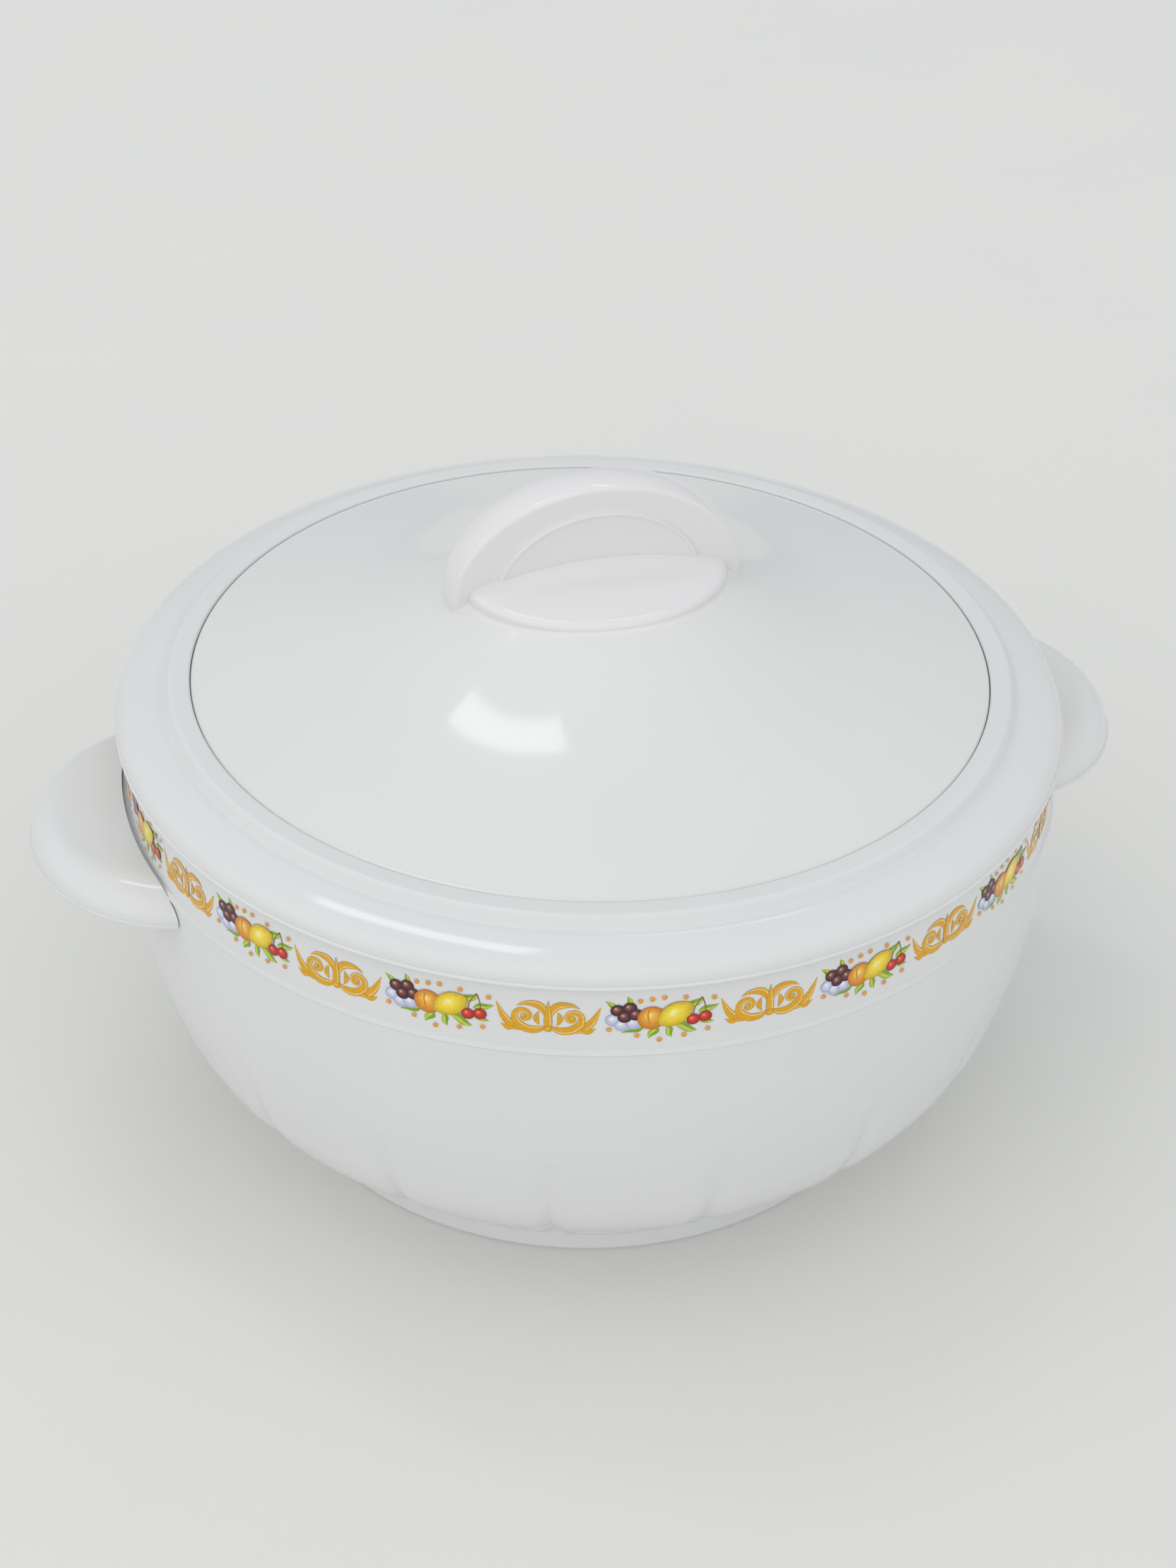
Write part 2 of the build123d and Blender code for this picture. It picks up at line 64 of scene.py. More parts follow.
def arcPoints(before, corner, after, radius, stepLength=0.35):
    # the corner of an outline rounded to a radius, as points on the arc
    a = (Vector(before) - Vector(corner)).normalized()
    b = (Vector(after) - Vector(corner)).normalized()
    half = a.angle(b) / 2
    if radius <= 0 or abs(half - pi / 2) < 1e-4:
        return [tuple(corner)]
    reach = radius / tan(half)
    centre = Vector(corner) + (a + b).normalized() * (radius / sin(half))
    start = Vector(corner) + a * reach - centre
    end = Vector(corner) + b * reach - centre
    turn = start.angle(end)
    steps = min(40, max(3, int(turn * radius / stepLength), int(degrees(turn) / 6)))
    side = 1 if start.x * end.y - start.y * end.x > 0 else -1
    points = []
    for i in range(steps + 1):
        angle = side * turn * i / steps
        points.append((
            centre.x + start.x * cos(angle) - start.y * sin(angle),
            centre.y + start.x * sin(angle) + start.y * cos(angle),
        ))
    return points


def roundedOutline(corners, closed=True):
    # corners: (radius, height, rounding)
    points = []
    count = len(corners)
    for i, (r, z, rounding) in enumerate(corners):
        if not closed and i in (0, count - 1):
            points.append((r, z))
            continue
        before, after = corners[i - 1][:2], corners[(i + 1) % count][:2]
        points += arcPoints(before, (r, z), after, rounding)
    return points


def divided(points, longest, closed=True):
    # extra points on long straight runs
    result = []
    ends = points[1:] + points[:1] if closed else points[1:]
    for start, end in zip(points, ends):
        result.append(start)
        pieces = int(hypot(end[0] - start[0], end[1] - start[1]) / longest)
        for k in range(1, pieces + 1):
            t = k / (pieces + 1)
            result.append((start[0] + (end[0] - start[0]) * t, start[1] + (end[1] - start[1]) * t))
    return result if closed else result + points[-1:]


def rowFaces(rows, width, start=0, closed=True):
    # quads between neighbouring rows of points
    faces = []
    for i in range(rows - 1):
        for k in range(width if closed else width - 1):
            a, b = start + i * width + k, start + i * width + (k + 1) % width
            faces.append((a, b, b + width, a + width))
    return faces


def meshObject(name, vertices, faces, tidy=True):
    # mesh from mm coordinates, doubles merged and faces turned outwards
    mesh = bpy.data.meshes.new(name)
    mesh.from_pydata([(x * mm, y * mm, z * mm) for x, y, z in vertices], [], faces)
    if tidy:
        work = bmesh.new()
        work.from_mesh(mesh)
        bmesh.ops.remove_doubles(work, verts=work.verts, dist=1e-7)
        bmesh.ops.dissolve_degenerate(work, edges=work.edges, dist=1e-7)
        bmesh.ops.recalc_face_normals(work, faces=work.faces)
        work.to_mesh(mesh)
        work.free()
    for face in mesh.polygons:
        face.use_smooth = True
    piece = bpy.data.objects.new(name, mesh)
    bpy.context.scene.collection.objects.link(piece)
    return piece


def turnedShell(name, outline, steps):
    # closed outline turned about the Z axis
    vertices, faces = [], []
    count = len(outline)
    for i in range(steps):
        angle = 2 * pi * i / steps
        vertices += [(r * cos(angle), r * sin(angle), z) for r, z in outline]
    for i in range(steps):
        for k in range(count):
            if outline[k][0] < 1e-6 and outline[(k + 1) % count][0] < 1e-6:
                continue
            here, there = i * count, ((i + 1) % steps) * count
            faces.append((here + k, here + (k + 1) % count, there + (k + 1) % count, there + k))
    return meshObject(name, vertices, faces)


def keepCreases(piece, angle=38):
    # sharp edges stay sharp under smooth shading
    mesh = piece.data
    work = bmesh.new()
    work.from_mesh(mesh)
    for edge in work.edges:
        if len(edge.link_faces) == 2:
            edge.smooth = edge.calc_face_angle(0) < radians(angle)
    work.to_mesh(mesh)
    work.free()


def bakeModifier(piece, modifier):
    # the modifier's result becomes the piece's plain mesh
    ready = piece.evaluated_get(bpy.context.evaluated_depsgraph_get())
    mesh = bpy.data.meshes.new_from_object(ready)
    piece.modifiers.remove(modifier)
    piece.data = mesh


def applyTree(piece, tree, inputs):
    # runs a Geometry Nodes tree on a piece, its inputs set by socket identifier
    modifier = piece.modifiers.new("shape", "NODES")
    modifier.node_group = tree
    sockets = {s.name: s.identifier for s in tree.interface.items_tree if s.in_out == "INPUT"}
    for label, value in inputs.items():
        modifier[sockets[label]] = value
    bakeModifier(piece, modifier)


def startTree(name, inputs):
    # a Geometry Nodes tree with geometry in and out, its own inputs (label, kind) and a material
    tree = bpy.data.node_groups.new(name, "GeometryNodeTree")
    face = tree.interface
    for label, kind in [("Geometry", "Geometry")] + inputs + [("Material", "Material")]:
        face.new_socket(label, in_out="INPUT", socket_type="NodeSocket" + kind)
    face.new_socket("Geometry", in_out="OUTPUT", socket_type="NodeSocketGeometry")
    return tree, addNode(tree, "NodeGroupInput").outputs


def endTree(tree, given, geometry):
    # copies made real, then the material
    real = addNode(tree, "GeometryNodeRealizeInstances", links={0: geometry})
    sources = {"Geometry": real, "Material": given["Material"]}
    painted = addNode(tree, "GeometryNodeSetMaterial", links=sources)
    addNode(tree, "NodeGroupOutput", links={0: painted})
    return tree


def finishPiece(piece, body, material, replaced=()):
    piece.data.materials.clear()
    piece.data.materials.append(material)
    keepCreases(piece)
    if replaced:
        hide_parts(*replaced)
    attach(piece, body)
    print("piece:", piece.name, len(piece.data.polygons), "faces")


def startMaterial(name):
    # an empty material, its node tree and the piece's own coordinates
    material = bpy.data.materials.new(name)
    material.use_nodes = True
    tree = material.node_tree
    tree.nodes.clear()
    return material, tree, addNode(tree, "ShaderNodeTexCoord").outputs["Object"]


def endMaterial(material, settings, links):
    # one principled surface with the sources that drive it
    tree = material.node_tree
    shader = addNode(tree, "ShaderNodeBsdfPrincipled", settings, links)
    addNode(tree, "ShaderNodeOutputMaterial", links={"Surface": shader})
    return material


plasticFinish = {
    "roughness": 0.085,         # polished mould: windows show in it with crisp edges
    "cloudSize": 45.0,          # mm, drift of the pigment
    "waveSize": 19.0,           # mm, sink waviness of thick mouldings
    "waveDepth": 0.010,         # mm
    "grainSize": 0.9,           # mm, handling haze, drawn coarser than it is so that it shows
    "grainDepth": 0.0005,       # mm
    "grainRoughness": 0.65,     # of the noise
    "polishSpread": (0.8, 1.35),      # share of the roughness, from clean to handled skin
}


def mouldedPlastic(name, colour, tint, roughness=None, waveDepth=None):
    # injection-moulded polypropylene: opaque, glossy, faintly wavy, with a slight handling haze
    v = plasticFinish
    material, tree, place = startMaterial(name)
    noises = []
    for size, detail in (("cloudSize", 2.0), ("grainSize", 4.0), ("waveSize", 1.0)):
        settings = {"Scale": 1 / (v[size] * mm), "Detail": detail}
        noises.append(addNode(tree, "ShaderNodeTexNoise", settings, {"Vector": place}))
    cloud, haze, wave = noises
    haze.inputs["Roughness"].default_value = v["grainRoughness"]
    tone = addNode(
        tree, "ShaderNodeMix", {"data_type": "RGBA", 6: hexColour(colour), 7: hexColour(tint)},
        {0: cloud},
    )
    rough = v["roughness"] if roughness is None else roughness
    clean, handled = v["polishSpread"]
    polish = addNode(
        tree, "ShaderNodeMapRange",
        {"From Min": 0.3, "From Max": 0.7, "To Min": rough * clean, "To Max": rough * handled},
        {"Value": haze},
    )
    depth = v["waveDepth"] if waveDepth is None else waveDepth
    ripple = addNode(
        tree, "ShaderNodeBump", {"Strength": 1.0, "Distance": depth * mm}, {"Height": wave}
    )
    skin = addNode(
        tree, "ShaderNodeBump", {"Strength": 0.4, "Distance": v["grainDepth"] * mm},
        {"Height": haze, "Normal": ripple},
    )
    return endMaterial(
        material, {"IOR": 1.49, "Metallic": 0.0},
        {"Base Color": tone.outputs[2], "Roughness": polish, "Normal": skin},
    )


steelFinish = {
    "colour": "CFCECB", "roughness": (0.16, 0.34), "ringSize": 0.6, "ringDepth": 0.004,      # mm
}


def spunSteel(name):
    # deep-drawn and spun stainless steel: fine rings from the polishing wheel
    v = steelFinish
    material, tree, place = startMaterial(name)
    split = addNode(tree, "ShaderNodeSeparateXYZ", links={0: place})
    level = addNode(tree, "ShaderNodeVectorMath", {"operation": "MULTIPLY", 1: (1, 1, 0)}, {0: place})
    radius = addNode(tree, "ShaderNodeVectorMath", {"operation": "LENGTH"}, {0: level})
    along = addNode(
        tree, "ShaderNodeMath", {"operation": "ADD"}, {0: radius.outputs["Value"], 1: split.outputs[2]}
    )
    rings = addNode(
        tree, "ShaderNodeTexNoise",
        {"noise_dimensions": "1D", "Scale": 1 / (v["ringSize"] * mm), "Detail": 3.0},
        {"W": along},
    )
    bright, dull = v["roughness"]
    polish = addNode(tree, "ShaderNodeMapRange", {"To Min": bright, "To Max": dull}, {"Value": rings})
    bump = addNode(
        tree, "ShaderNodeBump", {"Strength": 0.5, "Distance": v["ringDepth"] * mm},
        {"Height": rings},
    )
    surface = {"Base Color": hexColour(v["colour"]), "Metallic": 1.0}
    return endMaterial(material, surface, {"Roughness": polish, "Normal": bump})


foamFinish = {
    "colour": "EBD9A6", "rim": "D2B878", "roughness": 0.85, "cellSize": 1.4, "cellDepth": 0.3,      # mm
}


def foamedPolyurethane(name):
    # rigid polyurethane foam: pale amber, matt, open cells on its skin
    v = foamFinish
    material, tree, place = startMaterial(name)
    cells = addNode(tree, "ShaderNodeTexVoronoi", {"Scale": 1 / (v["cellSize"] * mm)}, {"Vector": place})
    tone = addNode(
        tree, "ShaderNodeMix", {"data_type": "RGBA", 6: hexColour(v["colour"]), 7: hexColour(v["rim"])},
        {0: cells},
    )
    bump = addNode(
        tree, "ShaderNodeBump", {"Strength": 0.8, "Distance": v["cellDepth"] * mm},
        {"Height": cells},
    )
    return endMaterial(
        material, {"Roughness": v["roughness"]}, {"Base Color": tone.outputs[2], "Normal": bump}
    )


zincFinish = {"colour": "BFC3C8", "roughness": (0.25, 0.45), "mottleSize": 0.8}      # mm


def platedSteel(name):
    # zinc-plated screw steel: bright bluish grey with soft mottling
    v = zincFinish
    material, tree, place = startMaterial(name)
    mottle = addNode(
        tree, "ShaderNodeTexNoise", {"Scale": 1 / (v["mottleSize"] * mm), "Detail": 3.0}, {"Vector": place}
    )
    bright, dull = v["roughness"]
    polish = addNode(tree, "ShaderNodeMapRange", {"To Min": bright, "To Max": dull}, {"Value": mottle})
    surface = {"Base Color": hexColour(v["colour"]), "Metallic": 1.0}
    return endMaterial(material, surface, {"Roughness": polish})


inkFinish = {
    "roughness": 0.12, "speckleSize": 0.5,       # mm
    "cover": (0.86, 1.1),       # share of the full colour
}


def transferInk(name):
    # heat-transfer print under a clear lacquer: flat colours with a fine dot, glossy as the plastic
    v = inkFinish
    material, tree, place = startMaterial(name)
    colour = addNode(tree, "ShaderNodeVertexColor", {"layer_name": "ink"})
    speckle = addNode(
        tree, "ShaderNodeTexNoise", {"Scale": 1 / (v["speckleSize"] * mm), "Detail": 3.0}, {"Vector": place}
    )
    thin, full = v["cover"]
    strength = addNode(
        tree, "ShaderNodeMapRange", {"From Min": 0.3, "From Max": 0.7, "To Min": thin, "To Max": full},
        {"Value": speckle},
    )
    tone = addNode(
        tree, "ShaderNodeVectorMath", {"operation": "SCALE"},
        {0: colour, "Scale": strength},
    )
    return endMaterial(material, {"IOR": 1.49, "Roughness": v["roughness"]}, {"Base Color": tone})


whitePlastic = mouldedPlastic("whiteMouldedPolypropylene", "E0E1E1", "DCDDDE")
creamPlastic = mouldedPlastic("domeMouldedPolypropylene", "E2E4E2", "DEE0DE")
# knob plastic a shade lighter than the body's white: painted light, brightening the grip's upright faces
# that the room lights less
knobPlasticLightened = mouldedPlastic("knobMouldedPolypropylene", "E6E5E6", "E3E2E3", waveDepth=0.004)
plugPlastic = mouldedPlastic("naturalPolypropylene", "D8D7CF", "CFCDC2", roughness=0.42)
steel = spunSteel("spunStainlessSteel")
foam = foamedPolyurethane("rigidPolyurethaneFoam")
zinc = platedSteel("zincPlatedSteel")
ink = transferInk("heatTransferPrint")
print("materials made")


# outer bowl: a turned belly, then its lobes by rule

bowl = {
    "radius": 131.0, "top": 104.0, "wall": 2.4,
    "baseRadius": 95.02, "footRadius": 95.0, "footCove": 1.2, "footHeight": 6.0, "footWall": 2.6,
    "footCorner": 0.6, "footEdge": 0.5,
    "turn": (122.8, 36.0, 45.0), "side": (131.0, 69.6, 160.0),      # radius, height, rounding
    "innerSideRound": 140.0, "innerTurn": (3.6, 1.0, 50.0), "innerBase": 3.4,      # inset, rise, rounding
    "tongue": 9.0, "tongueWall": 2.2, "tongueGap": 0.2,
    "rib": (56.0, 58.0, 1.8), "plugHole": 9.0, "bevel": 0.4,
    "lobes": 18, "valleyDepth": 2.0, "valleyWidth": 6.5, "valleyLift": 0.55,
    "valleyStart": 1.6, "valleyEnd": 66.0, "valleyFade": 0.65,
    "rowLength": 2.2, "steps": 576,      # steps: a multiple of twice the lobes puts a row in each valley
}


def lobeTree():
    # pulls each valley in: a cusp at its middle, deepest at the foot, gone at the fade height
    labels = ("Lobes", "Valley depth", "Valley half width", "Foot height", "Fade height", "Fade power")
    tree, given = startTree("bellyLobes", [(label, "Float") for label in labels])
    place = addNode(tree, "GeometryNodeInputPosition")
    parts = addNode(tree, "ShaderNodeSeparateXYZ", links={0: place}).outputs
    level = addNode(tree, "ShaderNodeVectorMath", {"operation": "MULTIPLY", 1: (1, 1, 0)}, {0: place})
    radius = addNode(tree, "ShaderNodeVectorMath", {"operation": "LENGTH"}, {0: level})
    angle = addNode(tree, "ShaderNodeMath", {"operation": "ARCTAN2"}, {0: parts[1], 1: parts[0]})
    halfPitch = addNode(tree, "ShaderNodeMath", {"operation": "DIVIDE", 0: pi}, {1: given["Lobes"]})
    fromCrest = addNode(tree, "ShaderNodeMath", {"operation": "PINGPONG"}, {0: angle, 1: halfPitch})
    fromValley = addNode(
        tree, "ShaderNodeMath", {"operation": "SUBTRACT"}, {0: halfPitch, 1: fromCrest}
    )
    distance = addNode(
        tree, "ShaderNodeMath", {"operation": "MULTIPLY"}, {0: fromValley, 1: radius.outputs["Value"]}
    )
    flank = addNode(
        tree, "ShaderNodeMapRange", {"From Min": 0.0, "To Min": 1.0, "To Max": 0.0},
        {"Value": distance, "From Max": given["Valley half width"]},
    )
    across = addNode(tree, "ShaderNodeMath", {"operation": "POWER", 1: 2.0}, {0: flank})
    climb = addNode(
        tree, "ShaderNodeMapRange", {"To Min": 1.0, "To Max": 0.0},
        {"Value": parts[2], "From Min": given["Foot height"], "From Max": given["Fade height"]},
    )
    along = addNode(tree, "ShaderNodeMath", {"operation": "POWER"}, {0: climb, 1: given["Fade power"]})
    shape = addNode(tree, "ShaderNodeMath", {"operation": "MULTIPLY"}, {0: across, 1: along})
    weight = addNode(tree, "GeometryNodeInputNamedAttribute", {"data_type": "FLOAT", "Name": "lobed"})
    depth = addNode(
        tree, "ShaderNodeMath", {"operation": "MULTIPLY"}, {0: given["Valley depth"], 1: weight}
    )
    pull = addNode(tree, "ShaderNodeMath", {"operation": "MULTIPLY"}, {0: shape, 1: depth})
    outward = addNode(tree, "ShaderNodeVectorMath", {"operation": "NORMALIZE"}, {0: level})
    inward = addNode(
        tree, "ShaderNodeVectorMath",
        {"operation": "MULTIPLY_ADD", 1: (-1, -1, 0), 2: (0, 0, bowl["valleyLift"])},
        {0: outward},
    )
    shift = addNode(tree, "ShaderNodeVectorMath", {"operation": "SCALE"}, {0: inward, "Scale": pull})
    moved = addNode(
        tree, "GeometryNodeSetPosition", links={"Geometry": given["Geometry"], "Offset": shift}
    )
    return endTree(tree, given, moved)


def makeOuterBowl():
    b = bowl
    (turnR, turnZ, turnRound), (sideR, sideZ, sideRound) = b["turn"], b["side"]
    w, foot, f, top = b["wall"], b["footHeight"], b["footRadius"], b["top"]
    outside = roundedOutline([
        (f, foot - 2 * b["footCove"], 0), (b["baseRadius"], foot, b["footCove"]), (turnR, turnZ, turnRound),
        (sideR, sideZ, sideRound), (sideR, top, 0),
    ], closed=False)
    tongue, tongueTop = sideR - w - b["tongueGap"], top + b["tongue"]
    tongueIn = tongue - b["tongueWall"]
    upper = [(tongue, top), (tongue, tongueTop), (tongueIn, tongueTop)]
    inset, rise, innerRound = b["innerTurn"]
    inside = roundedOutline([
        (tongueIn, tongueTop, 0), (tongueIn, sideZ, b["innerSideRound"]),
        (turnR - inset, turnZ + rise, innerRound), (b["baseRadius"] - b["innerBase"], foot + w, 0),
    ], closed=False)
    inside = inside[1:-1:3] + inside[-1:]       # the foam hides it, so few rows do
    ribIn, ribOut, ribHeight = b["rib"]
    hole, bevel, corner, edge = b["plugHole"], b["bevel"], b["footCorner"], b["footEdge"]
    footIn = f - b["footWall"]
    lower = [
        (hole, foot + w), (hole, foot + bevel), (hole + bevel, foot), (ribIn - bevel, foot),
        (ribIn, foot - ribHeight), (ribOut, foot - ribHeight), (ribOut + bevel, foot),
        (footIn - corner, foot), (footIn, foot - corner), (footIn, edge),
        (footIn + edge, 0.0), (f - edge, 0.0), (f, edge),
    ]
    outline = divided(outside, b["rowLength"], closed=False) + upper + inside + lower
    piece = turnedShell("outer_bowl_shell", outline, b["steps"])
    # the lobes work on the belly alone and set in over a short rise above the foot
    lobed = piece.data.attributes.new("lobed", "FLOAT", "POINT")
    limit, floor = (b["baseRadius"] - 0.05) * mm, (foot - 0.01) * mm       # a hair less, for rounding
    for i, vertex in enumerate(piece.data.vertices):
        onBelly = hypot(vertex.co.x, vertex.co.y) > limit and vertex.co.z > floor
        setIn = (vertex.co.z - floor) / (b["valleyStart"] * mm)
        lobed.data[i].value = min(setIn, 1.0) if onBelly else 0.0
    applyTree(piece, lobeTree(), {
        "Lobes": float(b["lobes"]), "Valley depth": b["valleyDepth"] * mm,
        "Valley half width": b["valleyWidth"] * mm, "Foot height": foot * mm,
        "Fade height": b["valleyEnd"] * mm, "Fade power": b["valleyFade"], "Material": whitePlastic,
    })
    finishPiece(piece, "body", whitePlastic, ["outer_bowl"])


makeOuterBowl()


# collar with the printed band

collar = {
    "beadHeight": 1.6, "beadReach": 0.37, "beadRound": 0.3, "beadRise": 0.85, "beadFoot": 0.05,
    "bandLow": 130.4, "bandHigh": 129.5, "top": 124.5, "edgeRound": 0.8,
    "deckInner": 117.5, "deckRound": 0.35, "recess": 1.2, "recessRound": 0.2,
    "bore": 108.5, "boreRound": 0.4, "lipHeight": 11.5, "wall": 2.4, "slot": 11.4,
    "rowLength": 2.6, "steps": 360,
}


def makeCollar():
    c = collar
    r, low = bowl["radius"], bowl["top"]
    beadTop = low + c["beadHeight"]
    rimSeat = c["top"] - c["recess"]
    bead, lip, slotWall = r + c["beadReach"], c["bore"] + c["wall"], r - c["wall"]
    lipLow, deckLow = rimSeat - c["lipHeight"], rimSeat - c["wall"]
    outline = roundedOutline([
        (r, low, 0), (bead, beadTop - c["beadRise"], c["beadRound"]),
        (c["bandLow"], beadTop, c["beadFoot"]),
        (c["bandHigh"], c["top"], c["edgeRound"]), (c["deckInner"], c["top"], c["deckRound"]),
        (c["deckInner"], rimSeat, c["recessRound"]), (c["bore"], rimSeat, c["boreRound"]),
        (c["bore"], lipLow, 0), (lip, lipLow, 0), (lip, deckLow, 0), (slotWall - c["wall"], deckLow, 0),
        (slotWall, low + c["slot"], 0), (slotWall, low, 0),
    ], closed=False)
    piece = turnedShell("collar_band", divided(outline, c["rowLength"]), c["steps"])
    finishPiece(piece, "body", whitePlastic, ["collar_ring"])


makeCollar()


# lid: outer ring and bell-shaped dome

lid = {
    "edge": 131.4, "bottom": 124.8, "beadHeight": 1.2, "beadReach": 0.6, "bandWidth": 11.0,
    "bandHeight": 6.6, "skirt": 2.4, "valley": 2.0, "flank": 1.8, "ridgeWidth": 5.6,
    "ridgeTop": 135.7, "ledge": 132.9, "bore": 106.5, "ringWall": 2.2, "liner": 1.6,
    "bandAngles": (34, 74), "valleyRound": 1.5, "ridgeRounds": (1.5, 0.7), "skirtStep": 0.6,
    "rowLength": 2.4, "beadSteps": 12, "bandSteps": 16, "steps": 360,
    "domeGap": 0.22, "domeStep": 0.6, "domeRound": 0.8, "domeWall": 2.4, "snap": (106.2, 104.0, 4.0),
    "bellStep": 0.5, "innerSteps": 30,
    # radius and slope of the bell: level crown, turn at the knob's foot, steep flank that eases outwards
    "bell": [
        (20.0, 0.01), (31.0, 0.13), (33.2, 0.46), (46.0, 0.485), (52.0, 0.455), (62.0, 0.385),
        (71.0, 0.318), (78.0, 0.283), (92.0, 0.279), (106.0, 0.279),
    ],
}
lid["bandRadius"] = lid["edge"] - lid["beadReach"]
lid["crest"] = lid["bandRadius"] - lid["bandWidth"]
lid["ridgeOuter"] = lid["crest"] - lid["valley"] - lid["flank"]
lid["ridgeInner"] = lid["ridgeOuter"] - lid["ridgeWidth"]
lid["domeEdge"] = lid["ridgeInner"] - lid["domeGap"]
lid["domeEdgeTop"] = lid["ridgeTop"] - lid["domeStep"]


def bellSlope(radius):
    # slope of the dome's outside, eased from each stated place to the next
    line = [(0.0, 0.0)] + lid["bell"] + [(lid["domeEdge"] + 1, lid["bell"][-1][1])]
    i = 0
    while radius > line[i + 1][0]:
        i += 1
    (r0, s0), (r1, s1) = line[i], line[i + 1]
    return s0 + (s1 - s0) * (radius - r0) / (r1 - r0)


def bellLine():
    # heights of the dome's outside in small equal steps, summed up from its edge
    count = int(lid["domeEdge"] / lid["bellStep"])
    step = lid["domeEdge"] / count
    heights = [lid["domeEdgeTop"]]
    for i in range(count, 0, -1):
        heights.append(heights[-1] + bellSlope((i - 0.5) * step) * step)
    return step, heights[::-1]


bellStep, bellHeights = bellLine()


def bellHeight(radius, drop=0.0):
    # height of the dome's outside at a radius
    place = min(max(radius, 0.0), lid["domeEdge"]) / bellStep
    i = min(int(place), len(bellHeights) - 2)
    return bellHeights[i] + (bellHeights[i + 1] - bellHeights[i]) * (place - i) - drop


def bandArc(start, end, angle, steps):
    # arc from start to end that sets out at an angle inwards from the upright
    chord = atan2(start[0] - end[0], end[1] - start[1])
    half = chord - angle
    radius = hypot(end[0] - start[0], end[1] - start[1]) / (2 * sin(half))
    points = []
    for i in range(steps + 1):
        turn = angle + 2 * half * i / steps
        across, rise = radius * (cos(angle) - cos(turn)), radius * (sin(turn) - sin(angle))
        points.append((start[0] - across, start[1] + rise))
    return points


def makeLidRing():
    v = lid
    low = v["bottom"] + v["beadHeight"]
    bulge = -2 * atan2(2 * v["beadReach"], v["beadHeight"])
    bead = bandArc((v["bandRadius"], v["bottom"]), (v["bandRadius"], low), bulge, v["beadSteps"])
    first, second = (radians(angle) for angle in v["bandAngles"])
    chord = (v["bandHeight"] * sin(second) - v["bandWidth"] * cos(second)) / sin(second - first)
    middle = (v["bandRadius"] - chord * sin(first), low + chord * cos(first))
    crest = (v["crest"], low + v["bandHeight"])
    band = bandArc((v["bandRadius"], low), middle, 0.0, v["bandSteps"])
    band += bandArc(middle, crest, 2 * first, v["bandSteps"])[1:]
    outerRound, innerRound = v["ridgeRounds"]
    ridge = roundedOutline([
        (crest[0], crest[1], 0), (v["crest"] - v["valley"], crest[1], v["valleyRound"]),
        (v["ridgeOuter"], v["ridgeTop"], outerRound), (v["ridgeInner"], v["ridgeTop"], innerRound),
        (v["ridgeInner"], v["ledge"], 0),
    ], closed=False)[1:]
    under = v["ledge"] - v["ringWall"]
    flange = v["bottom"] + v["liner"]
    skirt = v["edge"] - v["skirt"]
    inside = [
        (v["bore"], v["ledge"]), (v["bore"], flange), (v["bore"] + v["ringWall"], flange),
        (v["bore"] + v["ringWall"], under), (v["crest"], under), (skirt, flange + v["skirtStep"]),
        (skirt, v["bottom"]),
    ]
    outline = bead[:-1] + band + ridge + inside
    piece = turnedShell("lid_ring_shell", divided(outline, v["rowLength"]), v["steps"])
    finishPiece(piece, "lid", whitePlastic, ["lid_ring"])


def makeDome():
    v = lid
    steps = len(bellHeights) - 1
    outside = [(i * bellStep, bellHeights[i]) for i in range(0, steps, 2 - steps % 2)]
    edge = arcPoints(
        outside[-1], (v["domeEdge"], v["domeEdgeTop"]), (v["domeEdge"], v["ledge"]), v["domeRound"]
    )
    snapOut, snapIn, snapHeight = v["snap"]
    rim = [
        (v["domeEdge"], v["ledge"]), (snapOut, v["ledge"]), (snapOut, v["ledge"] - snapHeight),
        (snapIn, v["ledge"] - snapHeight),
    ]
    radii = [snapIn * i / v["innerSteps"] for i in range(v["innerSteps"], -1, -1)]
    inside = [(radius, bellHeight(radius, v["domeWall"])) for radius in radii]
    piece = turnedShell("lid_dome_shell", outside + edge + rim + inside, v["steps"])
    finishPiece(piece, "lid", creamPlastic, ["lid_dome"])


makeLidRing()
makeDome()


# knob: arched grip with a raised panel on each face, on an oval crowned pad

knob = {
    "halfLength": 41.1, "base": 160.0, "rise": 31.8, "halfThick": 6.3, "edgeRound": 1.4, "crestTilt": 15.0,
    "panelLength": 29.2, "panelRise": 24.2, "panelOut": 1.3, "panelStep": 0.9, "panelBead": 0.35,
    "padHalfWidth": 32.0, "padStretch": 1.15, "padCrown": 167.5, "padBall": 190.0, "padRound": 2.2,
    "padCove": 1.2, "bladeCove": 4.2, "bladeCoveReach": 7.5,
    "padCrowding": 0.8, "rimFall": 0.78, "coveRise": 0.45,       # power, shares of the roundings
    "toeLength": 41.3, "toeHalfWidth": 25.0, "toeInset": 5.4, "toeLow": 159.0, "toeTop": 163.2,
    "foot": 156.6, "beadRows": 4, "beadPitch": 0.35,
    "crownSteps": 7, "edgeSteps": 10, "panelSteps": 12, "steps": 220,
    "padRings": 60, "roundSteps": 8, "ovalSteps": 240,
}


